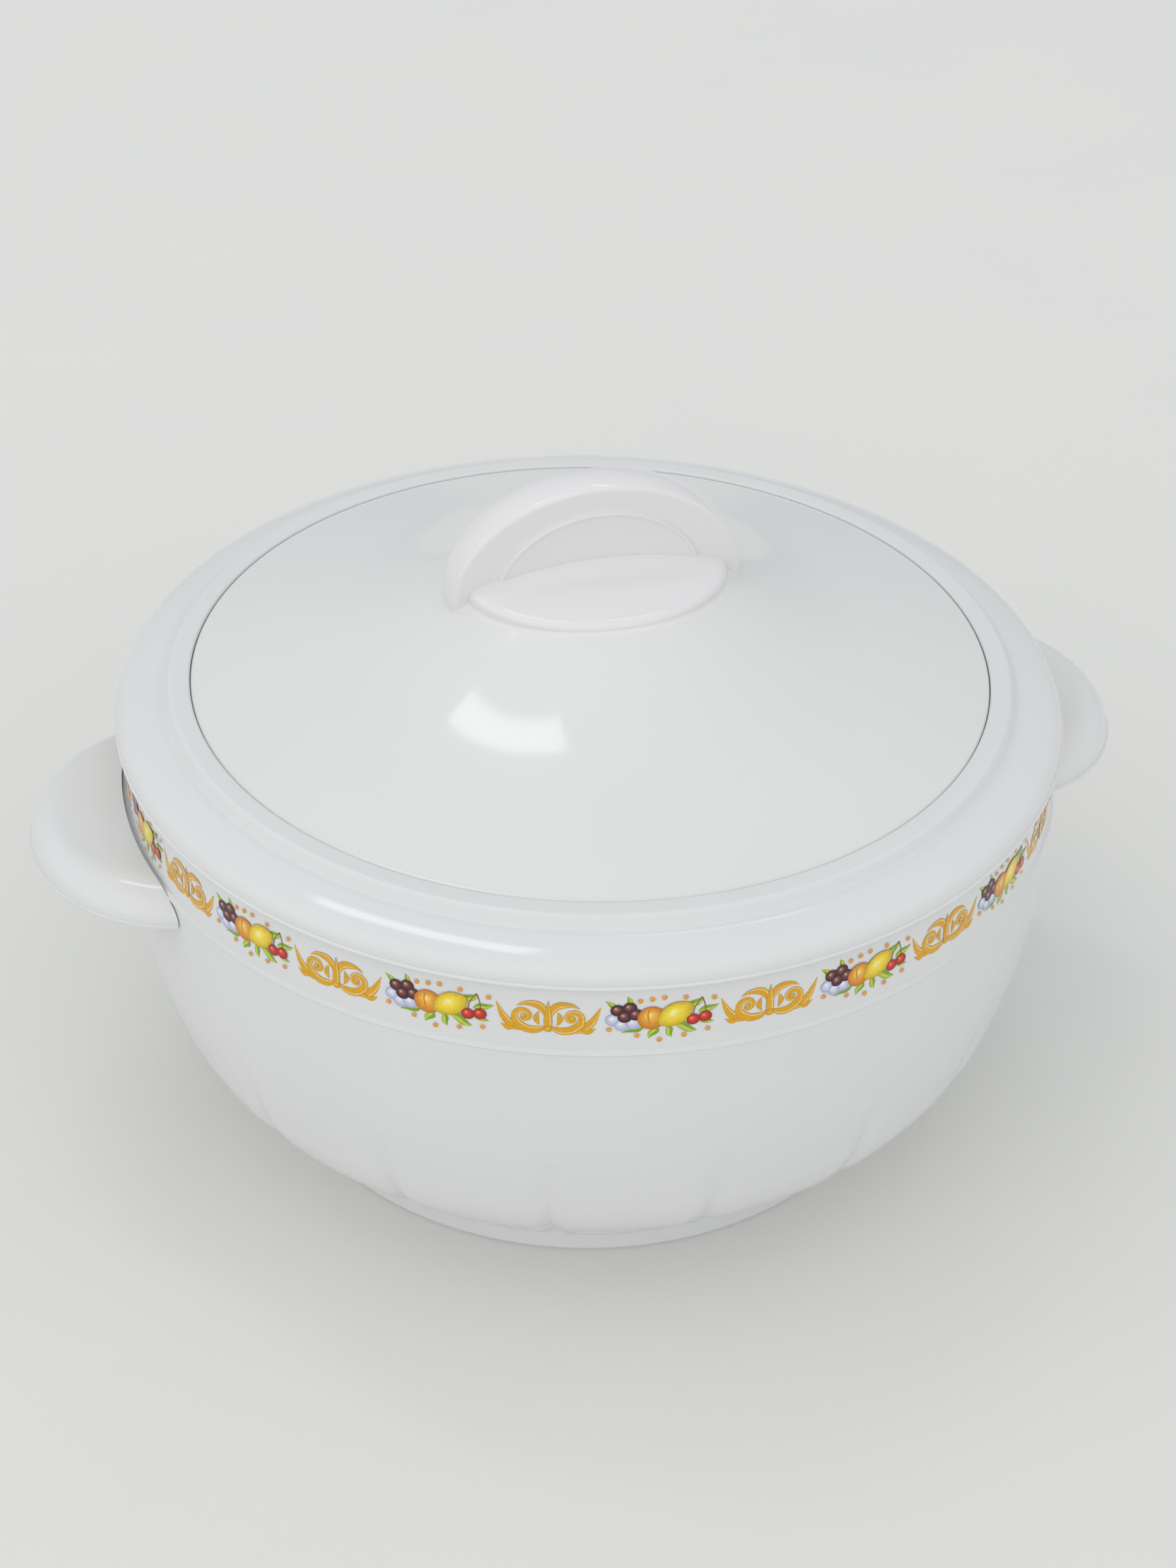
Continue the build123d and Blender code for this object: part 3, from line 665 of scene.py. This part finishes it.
def gripRows():
    # rows of the grip's face: (how the outline's point moves, amount, half thickness)
    v = knob
    rows = []
    tilt = radians(v["crestTilt"])
    flat = v["halfThick"] - v["edgeRound"] * (1 - sin(tilt))
    drop = flat * tan(tilt) / 2
    for k in range(v["crownSteps"]):
        rows.append(("edge", drop * (k / v["crownSteps"]) ** 2, flat * k / v["crownSteps"]))
    for k in range(v["edgeSteps"] + 1):
        turn = tilt + (pi / 2 - tilt) * k / v["edgeSteps"]
        inset = drop + v["edgeRound"] * (cos(tilt) - cos(turn))
        rows.append(("edge", inset, v["halfThick"] - v["edgeRound"] * (1 - sin(turn))))
    for k in (0.25, 0.5, 0.75):
        rows.append(("face", k, v["halfThick"]))
    for k in range(v["panelSteps"] + 1):
        t = k / v["panelSteps"]
        out = v["panelOut"] * t * t * (3 - 2 * t)
        rows.append(("panel", v["panelStep"] * (t - 0.5), v["halfThick"] + out))
    for k in range(1, v["beadRows"] + 1):
        fall = v["panelBead"] * sin(pi / 2 / v["beadRows"] * k) ** 2
        inset = v["panelStep"] * (0.5 + v["beadPitch"] * k)
        rows.append(("panel", inset, v["halfThick"] + v["panelOut"] - fall))
    for k in (0.3, 0.6, 1.0):
        rows.append(("middle", k, v["halfThick"] + v["panelOut"] - v["panelBead"]))
    return rows


def gripPoint(row, t, rows):
    # place of a row's point in the plane of the grip
    v = knob
    kind, amount, _ = row
    turn = pi * min(max(t, 0), 1)
    c, s = cos(turn), sin(turn)
    a, b = v["halfLength"], v["rise"]
    length = hypot(c / a, s / b)
    nx, nz = c / a / length, s / b / length
    edgeInset, panelInset = (max(r[1] for r in rows if r[0] == part) for part in ("edge", "panel"))
    inner = (a * c - nx * edgeInset, b * s - nz * edgeInset)
    panel = [
        ((v["panelLength"] - inset) * c, (v["panelRise"] - inset) * s)
        for inset in (-v["panelStep"] / 2, panelInset)
    ]
    if kind == "edge":
        return a * c - nx * amount, b * s - nz * amount
    if kind == "face":
        return tuple(p + (q - p) * amount for p, q in zip(inner, panel[0]))
    if kind == "panel":
        return (v["panelLength"] - amount) * c, (v["panelRise"] - amount) * s
    return tuple(p * (1 - amount) for p in panel[1])


def makeGrip():
    v = knob
    rows = gripRows()
    vertices = []
    steps = v["steps"]
    for i in range(-1, steps + 2):
        drop = v["foot"] if i in (-1, steps + 1) else v["base"]
        half = []
        for row in rows:
            x, z = gripPoint(row, i / steps, rows)
            half.append((x, row[2], drop + (z if drop == v["base"] else 0)))
        vertices += [(x, -y, z) for x, y, z in half[:0:-1]] + half
    width = 2 * len(rows) - 1
    faces = rowFaces(steps + 3, width, closed=False)
    last = (steps + 2) * width
    faces.append(tuple(range(width)) + tuple(range(last + width - 2, last, -1)))
    return meshObject("knob_grip", vertices, faces)


def padHeight(across, x, y):
    # crowned top of the pad, with a cove that climbs the grip's foot
    v = knob
    height = v["padCrown"] - v["padBall"] + sqrt(v["padBall"] ** 2 - across ** 2)
    near = max(0.0, 1 - max(abs(y) - v["halfThick"], 0.0) / v["bladeCoveReach"])
    ends = max(0.0, 1 - (x / v["padHalfWidth"] / v["padStretch"]) ** 2)
    return height + v["bladeCove"] * ends * near ** 2


def padRows():
    # rows of the pad from its crown to under the dome: (reach, kind, amount)
    v = knob
    width, radius = v["padHalfWidth"], v["padRound"]
    rows = []
    for k in range(1, v["padRings"] + 1):
        rows.append(((width - radius) * (k / v["padRings"]) ** v["padCrowding"], "crown", 0.0))
    for k in range(1, v["roundSteps"] + 1):
        turn = pi / 2 * k / v["roundSteps"]
        rows.append((width - radius * (1 - sin(turn)), "rim", radius * (1 - cos(turn)) * v["rimFall"]))
    cove = v["padCove"]
    for k in range(v["roundSteps"] + 1):
        turn = pi / 2 * k / v["roundSteps"]
        rows.append((width + cove * (1 - cos(turn)), "cove", cove * (1 - sin(turn)) * v["coveRise"]))
    return rows + [(width + cove, "under", 0.0)]


def ovalRing(halfX, halfY):
    # level oval ring of points
    turns = [2 * pi * k / knob["ovalSteps"] for k in range(knob["ovalSteps"])]
    return [(halfX * cos(turn), halfY * sin(turn)) for turn in turns]


def makePad():
    v = knob
    count = v["ovalSteps"]
    vertices = [(0.0, 0.0, padHeight(0.0, 0.0, 0.0))]
    rows = padRows()
    for reach, kind, amount in rows:
        for x, y in ovalRing(reach * v["padStretch"], reach):
            if kind in ("crown", "rim"):
                z = padHeight(reach, x, y) - amount
            elif kind == "cove":
                z = bellHeight(hypot(x, y)) + amount
            else:
                z = v["foot"] - 1.0
            vertices.append((x, y, z))
    faces = [(0, 1 + k, 1 + (k + 1) % count) for k in range(count)] + rowFaces(len(rows), count, start=1)
    faces.append(tuple(range(1 + (len(rows) - 1) * count, 1 + len(rows) * count)))
    return meshObject("knob_pad", vertices, faces)


def makeToes():
    # low oval flare under both ends of the grip
    v = knob
    rings = [(0.0, v["foot"]), (0.0, v["toeLow"]), (v["toeInset"], v["toeTop"])]
    count = v["ovalSteps"]
    vertices = []
    for inset, z in rings:
        vertices += [(x, y, z) for x, y in ovalRing(v["toeLength"] - inset, v["toeHalfWidth"] - inset)]
    faces = rowFaces(len(rings), count)
    faces += [tuple(range(count)), tuple(range((len(rings) - 1) * count, len(rings) * count))]
    return meshObject("knob_toes", vertices, faces)


def makeKnob():
    grip = makeGrip()
    for part in (makePad(), makeToes()):
        join = grip.modifiers.new("join", "BOOLEAN")
        join.operation = "UNION"
        join.solver = "EXACT"
        join.object = part
        bakeModifier(grip, join)
        bpy.data.objects.remove(part)
    for face in grip.data.polygons:
        face.use_smooth = True
    finishPiece(grip, "lid", knobPlasticLightened, ["knob"])


makeKnob()


# side handles: half-moon shelves

handle = {
    "centre": 116.1, "reach": 41.1, "halfWidth": 45.6, "plateau": 33.0, "top": 106.8, "bottom": 97.8,
    "lipHeight": 1.3, "lipReach": 0.5, "lipShares": (0.55, 0.9, 0.5), "lipDrops": (0.12, 0.4),
    "lipRise": 0.3,
    "wall": 2.4, "root": 131.3, "hollowInset": 3.5, "hollowShift": 0.7, "hollowSlope": 1.2,
    "slices": 200, "rows": 26, "flatRows": 8,
}


def handleReach(angle, share):
    # distance from the bowl's axis to the outline at a share of the flank, in a direction
    v = handle
    halfX = v["plateau"] + share * (v["reach"] - v["plateau"])
    halfY = v["plateau"] + share * (v["halfWidth"] - v["plateau"])
    ux, uy = cos(angle) / halfX, sin(angle) / halfY
    a, b, c = ux * ux + uy * uy, -2 * v["centre"] * ux / halfX, (v["centre"] / halfX) ** 2 - 1
    root = b * b - 4 * a * c
    return (-b + sqrt(root)) / (2 * a) if root > 0 else 0.0


def flankShare(angle, radius):
    # 0 on the plateau, 1 at the lip
    if handleReach(angle, 0.0) >= radius:
        return 0.0
    low, high = 0.0, 1.0
    for _ in range(30):
        middle = (low + high) / 2
        if handleReach(angle, middle) < radius:
            low = middle
        else:
            high = middle
    return high


def flankHeight(share):
    v = handle
    low = v["bottom"] + v["lipHeight"]
    return low + (v["top"] - low) * sqrt(max(1 - share * share, 0.0))


def handleLoop(angle):
    # closed section of the handle in a direction: plateau, flank, lip and hollow underside
    v = handle
    root, outer = v["root"], handleReach(angle, 1.0)
    start = flankShare(angle, root)
    crease = max(handleReach(angle, start), root)
    count = v["flatRows"]
    loop = [(root + (crease - root) * k / count, flankHeight(start)) for k in range(count)]
    for k in range(v["rows"] + 1):
        share = start + (1 - start) * sin(pi / 2 * k / v["rows"])
        loop.append((max(handleReach(angle, share), root), flankHeight(share)))
    bottom, lipTop, reach = v["bottom"], v["bottom"] + v["lipHeight"], v["lipReach"]
    (first, second, third), (drop, fullDrop) = v["lipShares"], v["lipDrops"]
    loop += [
        (outer + reach * first, lipTop), (outer + reach * second, lipTop - drop),
        (outer + reach, lipTop - fullDrop), (outer + reach, bottom + v["lipRise"]),
        (outer + reach * third, bottom),
    ]
    hollowIn = min(root + v["hollowInset"], (root + outer) / 2)
    hollowOut = max(outer - v["wall"], hollowIn)
    loop.append((hollowOut, bottom))
    slope = bottom + (hollowOut - hollowIn) * v["hollowSlope"]
    for k in range(count + 1):
        r = hollowOut + (hollowIn - hollowOut) * k / count
        roof = flankHeight(flankShare(angle, min(r + v["wall"] * v["hollowShift"], outer))) - v["wall"]
        loop.append((r, max(min(roof, slope), bottom + 0.01)))
    return loop + [(hollowIn, bottom), (root, bottom)]


def makeHandle(name, turn, replaced):
    v = handle
    limit = 0.0
    while handleReach(limit, 1.0) > v["root"] + 0.05:
        limit += 0.0005
    vertices = []
    for i in range(v["slices"] + 1):
        angle = -limit * cos(pi * i / v["slices"])
        loop = handleLoop(angle)
        vertices += [(r * cos(angle + turn), r * sin(angle + turn), z) for r, z in loop]
    count = len(loop)
    faces = rowFaces(v["slices"] + 1, count)
    faces += [tuple(range(count)), tuple(range(v["slices"] * count, (v["slices"] + 1) * count))]
    finishPiece(meshObject(name, vertices, faces), "body", whitePlastic, [replaced])


makeHandle("handle_right_shell", 0.0, "handle_right")
makeHandle("handle_left_shell", pi, "handle_left")


# printed band: fruit groups and gilt scrolls, drawn flat in mm and wrapped on the collar

printBand = {
    "height": 115.6, "lift": 0.04, "layer": 0.012,       # mm
    "repeats": 15, "fruitStart": 190.0, "scrollStart": 202.0,
    "gold": "DDA512", "goldEdge": "C68E14", "goldLight": "EFC653", "engraving": "FBF1D2",
    "scrollWeight": 1.3, "dot": "E39A2C", "fruitSides": 28, "leafSteps": 12, "strokeSteps": 7,
}


class Drawing:
    # flat coloured shapes in layers, later ones on top
    def __init__(self):
        self.points, self.colours, self.faces = [], [], []
        self.layer = 0

    def grid(self, rows, closed=False):
        # rows of (u, v, colour); neighbouring rows are joined by faces
        start = len(self.points)
        for row in rows:
            for u, v, colour in row:
                self.points.append((u, v, self.layer))
                self.colours.append(hexColour(colour))
        self.faces += rowFaces(len(rows), len(rows[0]), start, closed)
        self.layer += 1


def drawFruit(art, centre, size, tilt, tones, shine=(-0.3, 0.35), pointed=0.0):
    # shaded round fruit: tones run from the shine to the rim
    cu, cv = centre
    c, s = cos(radians(tilt)), sin(radians(tilt))
    rows = []
    shares = (0.02, 0.16, 0.4, 0.7, 0.93, 1.0)
    for share, tone in zip(shares, tones):
        row = []
        for k in range(printBand["fruitSides"]):
            turn = 2 * pi * k / printBand["fruitSides"]
            stretch = 1 + pointed * abs(cos(turn)) ** 9
            x = size[0] * (cos(turn) * stretch * share + shine[0] * (1 - share))
            y = size[1] * (sin(turn) * share + shine[1] * (1 - share))
            row.append((cu + x * c - y * s, cv + x * s + y * c, tone))
        rows.append(row)
    art.grid(rows, closed=True)


def drawLeaf(art, base, tip, width, light, dark, rib="E3E08A"):
    # pointed leaf, one half lit, with a pale midrib
    bu, bv = base
    du, dv = tip[0] - bu, tip[1] - bv
    length = hypot(du, dv)
    nu, nv = -dv / length, du / length
    rows = []
    for k in range(printBand["leafSteps"] + 1):
        t = k / printBand["leafSteps"]
        half = width / 2 * sin(pi * t ** 0.8) + 0.02
        sway = 0.12 * width * sin(2 * pi * t)
        row = []
        for across, tone in ((-1, dark), (-0.5, light), (-0.07, light), (0, rib), (0.07, dark), (1, dark)):
            reach = half * across + sway
            row.append((bu + du * t + nu * reach, bv + dv * t + nv * reach, tone))
        rows.append(row[::-1])
    art.grid(rows)


def curvePoints(points, steps):
    # smooth line through points
    padded = [points[0]] + list(points) + [points[-1]]
    line = []
    for i in range(len(points) - 1):
        p = padded[i:i + 4]
        for k in range(steps):
            t = k / steps
            line.append(tuple(
                0.5 * (2 * p[1][j] + (p[2][j] - p[0][j]) * t
                       + (2 * p[0][j] - 5 * p[1][j] + 4 * p[2][j] - p[3][j]) * t * t
                       + (3 * p[1][j] - p[0][j] - 3 * p[2][j] + p[3][j]) * t ** 3)
                for j in (0, 1, 2)
            ))
    return line + [tuple(points[-1])]


def drawStroke(art, points, tones, side=1):
    # brush stroke along (u, v, width) points; tones: (place across, colour)
    line = curvePoints([(side * u, v, w) for u, v, w in points], printBand["strokeSteps"])
    rows = []
    for i, (u, v, w) in enumerate(line):
        a, b = line[max(i - 1, 0)], line[min(i + 1, len(line) - 1)]
        length = max(hypot(b[0] - a[0], b[1] - a[1]), 1e-6)
        nu, nv = -(b[1] - a[1]) / length, (b[0] - a[0]) / length
        row = [(u + nu * w / 2 * place, v + nv * w / 2 * place, tone) for place, tone in tones]
        rows.append(row[::-1])
    art.grid(rows)


def fruitGroup():
    art = Drawing()
    v = printBand
    lilac = ("FAFAFD", "E9EBF4", "D3D7EA", "BDC2DE", "ACB1D3", "A0A6CA")
    plum = ("F0CDBD", "B4776A", "74403E", "4A2529", "371A20", "2C151A")
    apricot = ("FDF0B8", "F7D468", "EDAE3E", "DE912C", "C97B24", "B4691F")
    lemon = ("FFFBD2", "FAEB80", "F3DB40", "E9C92A", "CFAF22", "B09A22")
    cherry = ("FBC8B2", "EC6A48", "D63C28", "BC2A20", "9C201B", "821A18")
    leafTips = [
        ((-9.5, 1.5), (-13.6, 5.0), 1.7), ((-7.0, 3.0), (-8.4, 6.3), 1.5),
        ((-4.0, -2.5), (-9.6, -4.6), 2.2), ((-1.0, -3.0), (-3.0, -6.6), 2.1),
        ((3.4, -2.8), (8.8, -5.3), 2.4), ((1.4, -3.2), (2.6, -6.6), 1.8), ((6.2, 1.6), (10.2, 4.5), 2.1),
        ((9.0, 0.2), (14.1, 1.9), 1.7), ((8.0, -1.6), (12.9, -3.1), 1.8),
    ]
    for base, tip, width in leafTips:
        drawLeaf(art, base, tip, width, "C3CF3C", "7FA52A")
    for base, bend in (((7.6, -0.8, 0.3), (8.2, 2.0, 0.26)), ((10.8, -0.6, 0.3), (10.6, 2.2, 0.26))):
        drawStroke(art, [base, bend, (9.8, 4.6, 0.34)], ((-1, "6E5A22"), (1, "8E7A33")))
    for place in ((-11.6, -0.6), (-9.4, -2.2), (-6.8, -1.8)):
        drawFruit(art, place, (1.9, 1.8), 0, lilac)
    for place in ((-10.6, 2.3), (-7.7, 2.9), (-8.9, 0.3), (-6.2, 0.9)):
        drawFruit(art, place, (1.75, 1.7), 0, plum)
    drawFruit(art, (-2.4, -0.3), (3.5, 3.4), 0, apricot, (-0.2, 0.3))
    seam = [(-2.6, 3.0, 0.2), (-3.3, 0.6, 0.45), (-2.7, -2.6, 0.15)]
    drawStroke(art, seam, ((-1, "C47A24"), (1, "D48D30")))
    drawFruit(art, (3.3, 0.4), (4.3, 3.3), 32, lemon, (-0.05, 0.25), pointed=0.16)
    for place in ((7.7, -1.7), (10.7, -1.2)):
        drawFruit(art, place, (1.65, 1.6), 0, cherry)
    dots = [
        (-12.6, -3.4), (-5.2, 4.9), (-2.3, 5.3), (-5.9, -5.4), (0.6, 5.6), (5.8, 5.2), (-0.4, -7.0),
        (5.6, -6.1), (11.4, -5.0), (12.8, 4.2),
    ]
    for place in dots:
        drawFruit(art, place, (0.64, 0.62), 0, ("F2C25C",) * 2 + (v["dot"],) * 3 + ("C9791C",))
    return art


def giltScroll():
    art = Drawing()
    v = printBand
    fill = (
        (-1, v["goldEdge"]), (-0.82, v["gold"]), (-0.62, v["gold"]), (-0.5, v["engraving"]),
        (-0.38, v["gold"]), (0.82, v["gold"]), (1, v["goldEdge"]),
    )
    plain = ((-1, v["goldEdge"]), (-0.7, v["gold"]), (0.7, v["gold"]), (1, v["goldEdge"]))
    volute = [(0.5, -3.0, 0.5), (2.6, -4.1, 1.5), (5.2, -4.0, 1.8), (7.4, -2.5, 1.7)]
    for k in range(9):
        turn = radians(-20 + 45 * k)
        reach = 2.3 - 0.2 * k
        volute.append((5.9 + reach * cos(turn), -0.3 + reach * sin(turn), 1.35 - 0.1 * k))
    strokes = [
        ([(4.6, -4.2, 0.4), (8.0, -3.6, 1.7), (10.6, -1.2, 1.5), (12.6, 3.2, 0.15)], fill),
        ([(7.8, -3.9, 0.3), (9.6, -4.3, 1.1), (11.5, -3.2, 0.1)], plain),
        (volute, fill),
        ([(0.4, -0.8, 0.3), (0.9, 1.6, 1.3), (2.6, 3.4, 1.6), (5.6, 3.6, 0.9), (7.6, 2.6, 0.1)], fill),
        ([(2.2, -2.6, 0.2), (2.9, -0.6, 1.1), (2.3, 1.4, 0.1)], plain),
    ]
    for points, tones in strokes:
        points = [(along, up, width * v["scrollWeight"]) for along, up, width in points]
        for side in (-1, 1):
            drawStroke(art, points, tones, side)
    gilt = (v["goldLight"], v["goldLight"], v["gold"], v["gold"], v["goldEdge"], v["goldEdge"])
    for side in (-1, 1):
        drawFruit(art, (side * 5.9, -0.3), (0.75, 0.75), 0, gilt)
    drawStroke(art, [(0, -4.3, 0.3), (0, -2.2, 2.0), (0, 0.4, 1.7), (0, 4.9, 0.1)], fill)
    drawFruit(art, (0, -3.6), (1.1, 0.95), 0, gilt, (0, 0))
    return art


def wrapTree(label):
    # repeats the wrapped motif around the bowl's axis
    tree, given = startTree(label, [("Repeats", "Int"), ("Start angle", "Float")])
    points = addNode(tree, "GeometryNodePoints", links={"Count": given["Repeats"]})
    order = addNode(tree, "GeometryNodeInputIndex")
    pitch = addNode(tree, "ShaderNodeMath", {"operation": "DIVIDE", 0: 2 * pi}, {1: given["Repeats"]})
    angle = addNode(
        tree, "ShaderNodeMath", {"operation": "MULTIPLY_ADD"},
        {0: order, 1: pitch, 2: given["Start angle"]},
    )
    turn = addNode(tree, "ShaderNodeCombineXYZ", links={2: angle})
    spin = addNode(tree, "FunctionNodeEulerToRotation", links={0: turn})
    copies = addNode(
        tree, "GeometryNodeInstanceOnPoints",
        links={"Points": points, "Instance": given["Geometry"], "Rotation": spin},
    )
    return endTree(tree, given, copies)


def makePrint(name, art, start):
    v, c = printBand, collar
    low, high = bowl["top"] + c["beadHeight"], c["top"]
    middle = c["bandLow"] + (c["bandHigh"] - c["bandLow"]) * (v["height"] - low) / (high - low)
    vertices = []
    for along, up, layer in art.points:
        z = v["height"] + up
        r = c["bandLow"] + (c["bandHigh"] - c["bandLow"]) * (z - low) / (high - low)
        r += v["lift"] + v["layer"] * layer
        angle = along / middle
        vertices.append((r * cos(angle), r * sin(angle), z))
    piece = meshObject(name, vertices, art.faces, tidy=False)
    colours = piece.data.color_attributes.new("ink", "FLOAT_COLOR", "POINT")
    for i, colour in enumerate(art.colours):
        colours.data[i].color = colour
    applyTree(piece, wrapTree(name + "Ring"), {
        "Repeats": v["repeats"], "Start angle": radians(start), "Material": ink,
    })
    finishPiece(piece, "body", ink)


makePrint("fruit_print", fruitGroup(), printBand["fruitStart"])
makePrint("scroll_print", giltScroll(), printBand["scrollStart"])


# CAD nodes that keep their shape and get their real finish
for name, material in {
    "inner_bowl": steel, "body_foam": foam, "lid_foam": foam, "foam_plug": plugPlastic,
    "lid_plug": plugPlastic, "lid_liner": whitePlastic, "handle_screws": zinc, "knob_screws": zinc,
}.items():
    node = nodes[name]
    node.data.materials.clear()
    node.data.materials.append(material)
print("CAD nodes dressed")


# table, soft room light, ceiling strips and camera

studio = {
    "tableColour": "E7E7E3", "tableTint": "E3E4E1", "tableReach": 20000,
    "worldBright": "FFFFFF", "worldDim": "A2A6AB", "worldStrength": 1.17,
    "worldFrom": (-0.50, -0.80, 0.34),       # direction the soft light comes from
    "strips": [((-288, 571, 1750), (690, 170)), ((545, 940, 1750), (460, 110))],      # place, size
    "stripHeading": -44.3, "stripGlow": 11.0,      # W for each square metre
    "cameraReach": 565.8, "cameraHeight": 495.9, "cameraHeading": -16.3, "cameraTilt": 35.56,
    "cameraRoll": 1.18, "lens": 73.78, "sensorWidth": 36,
}


def satinLaminate(name):
    # laminate table top: nearly white, satin, with a trace of unevenness
    material, tree, place = startMaterial(name)
    cloud = addNode(tree, "ShaderNodeTexNoise", {"Scale": 9.0, "Detail": 2.0}, {"Vector": place})
    colour, tint = hexColour(studio["tableColour"]), hexColour(studio["tableTint"])
    tone = addNode(tree, "ShaderNodeMix", {"data_type": "RGBA", 6: colour, 7: tint}, {0: cloud})
    return endMaterial(material, {"Roughness": 0.5, "IOR": 1.45}, {"Base Color": tone.outputs[2]})


def makeStudio():
    v = studio
    reach = v["tableReach"]
    corners = [(-reach, -reach, 0), (reach, -reach, 0), (reach, reach, 0), (-reach, reach, 0)]
    floor = meshObject("studio_floor", corners, [(0, 1, 2, 3)])
    floor.data.materials.append(satinLaminate("satinLaminate"))
    world = bpy.data.worlds.new("softRoom")
    bpy.context.scene.world = world
    world.use_nodes = True
    tree = world.node_tree
    tree.nodes.clear()
    direction = addNode(tree, "ShaderNodeTexCoord").outputs["Generated"]
    facing = addNode(
        tree, "ShaderNodeVectorMath", {"operation": "DOT_PRODUCT", 1: v["worldFrom"]}, {0: direction}
    )
    share = addNode(
        tree, "ShaderNodeMapRange", {"From Min": -1.0, "From Max": 1.0}, {"Value": facing.outputs["Value"]}
    )
    dim, bright = hexColour(v["worldDim"]), hexColour(v["worldBright"])
    glow = addNode(tree, "ShaderNodeMix", {"data_type": "RGBA", 6: dim, 7: bright}, {0: share})
    back = addNode(
        tree, "ShaderNodeBackground", {"Strength": v["worldStrength"]}, {"Color": glow.outputs[2]}
    )
    addNode(tree, "ShaderNodeOutputWorld", links={"Surface": back})
    turn = Matrix.Rotation(radians(v["stripHeading"]), 4, "Z")
    for i, (place, (length, width)) in enumerate(v["strips"]):
        light = bpy.data.lights.new("ceilingStrip" + str(i + 1), "AREA")
        light.shape = "RECTANGLE"
        light.size, light.size_y = length * mm, width * mm
        light.energy = v["stripGlow"] * light.size * light.size_y
        strip = bpy.data.objects.new(light.name, light)
        strip.matrix_world = Matrix.Translation(Vector(place) * mm) @ turn
        bpy.context.scene.collection.objects.link(strip)


def makeCamera():
    v = studio
    heading, tilt, roll = (radians(v[key]) for key in ("cameraHeading", "cameraTilt", "cameraRoll"))
    place = Vector((v["cameraReach"] * sin(heading), -v["cameraReach"] * cos(heading), v["cameraHeight"]))
    turn = Matrix.Rotation(heading, 4, "Z") @ Matrix.Rotation(pi / 2 - tilt, 4, "X")
    camera = bpy.data.cameras.new("viewCamera")
    camera.sensor_fit = "HORIZONTAL"
    camera.sensor_width = v["sensorWidth"]
    camera.lens = v["lens"]
    holder = bpy.data.objects.new("viewCamera", camera)
    holder.matrix_world = Matrix.Translation(place * mm) @ turn @ Matrix.Rotation(roll, 4, "Z")
    bpy.context.scene.collection.objects.link(holder)
    bpy.context.scene.camera = holder
    bpy.context.scene.view_settings.view_transform = "Standard"


makeStudio()
makeCamera()
print("studio ready")
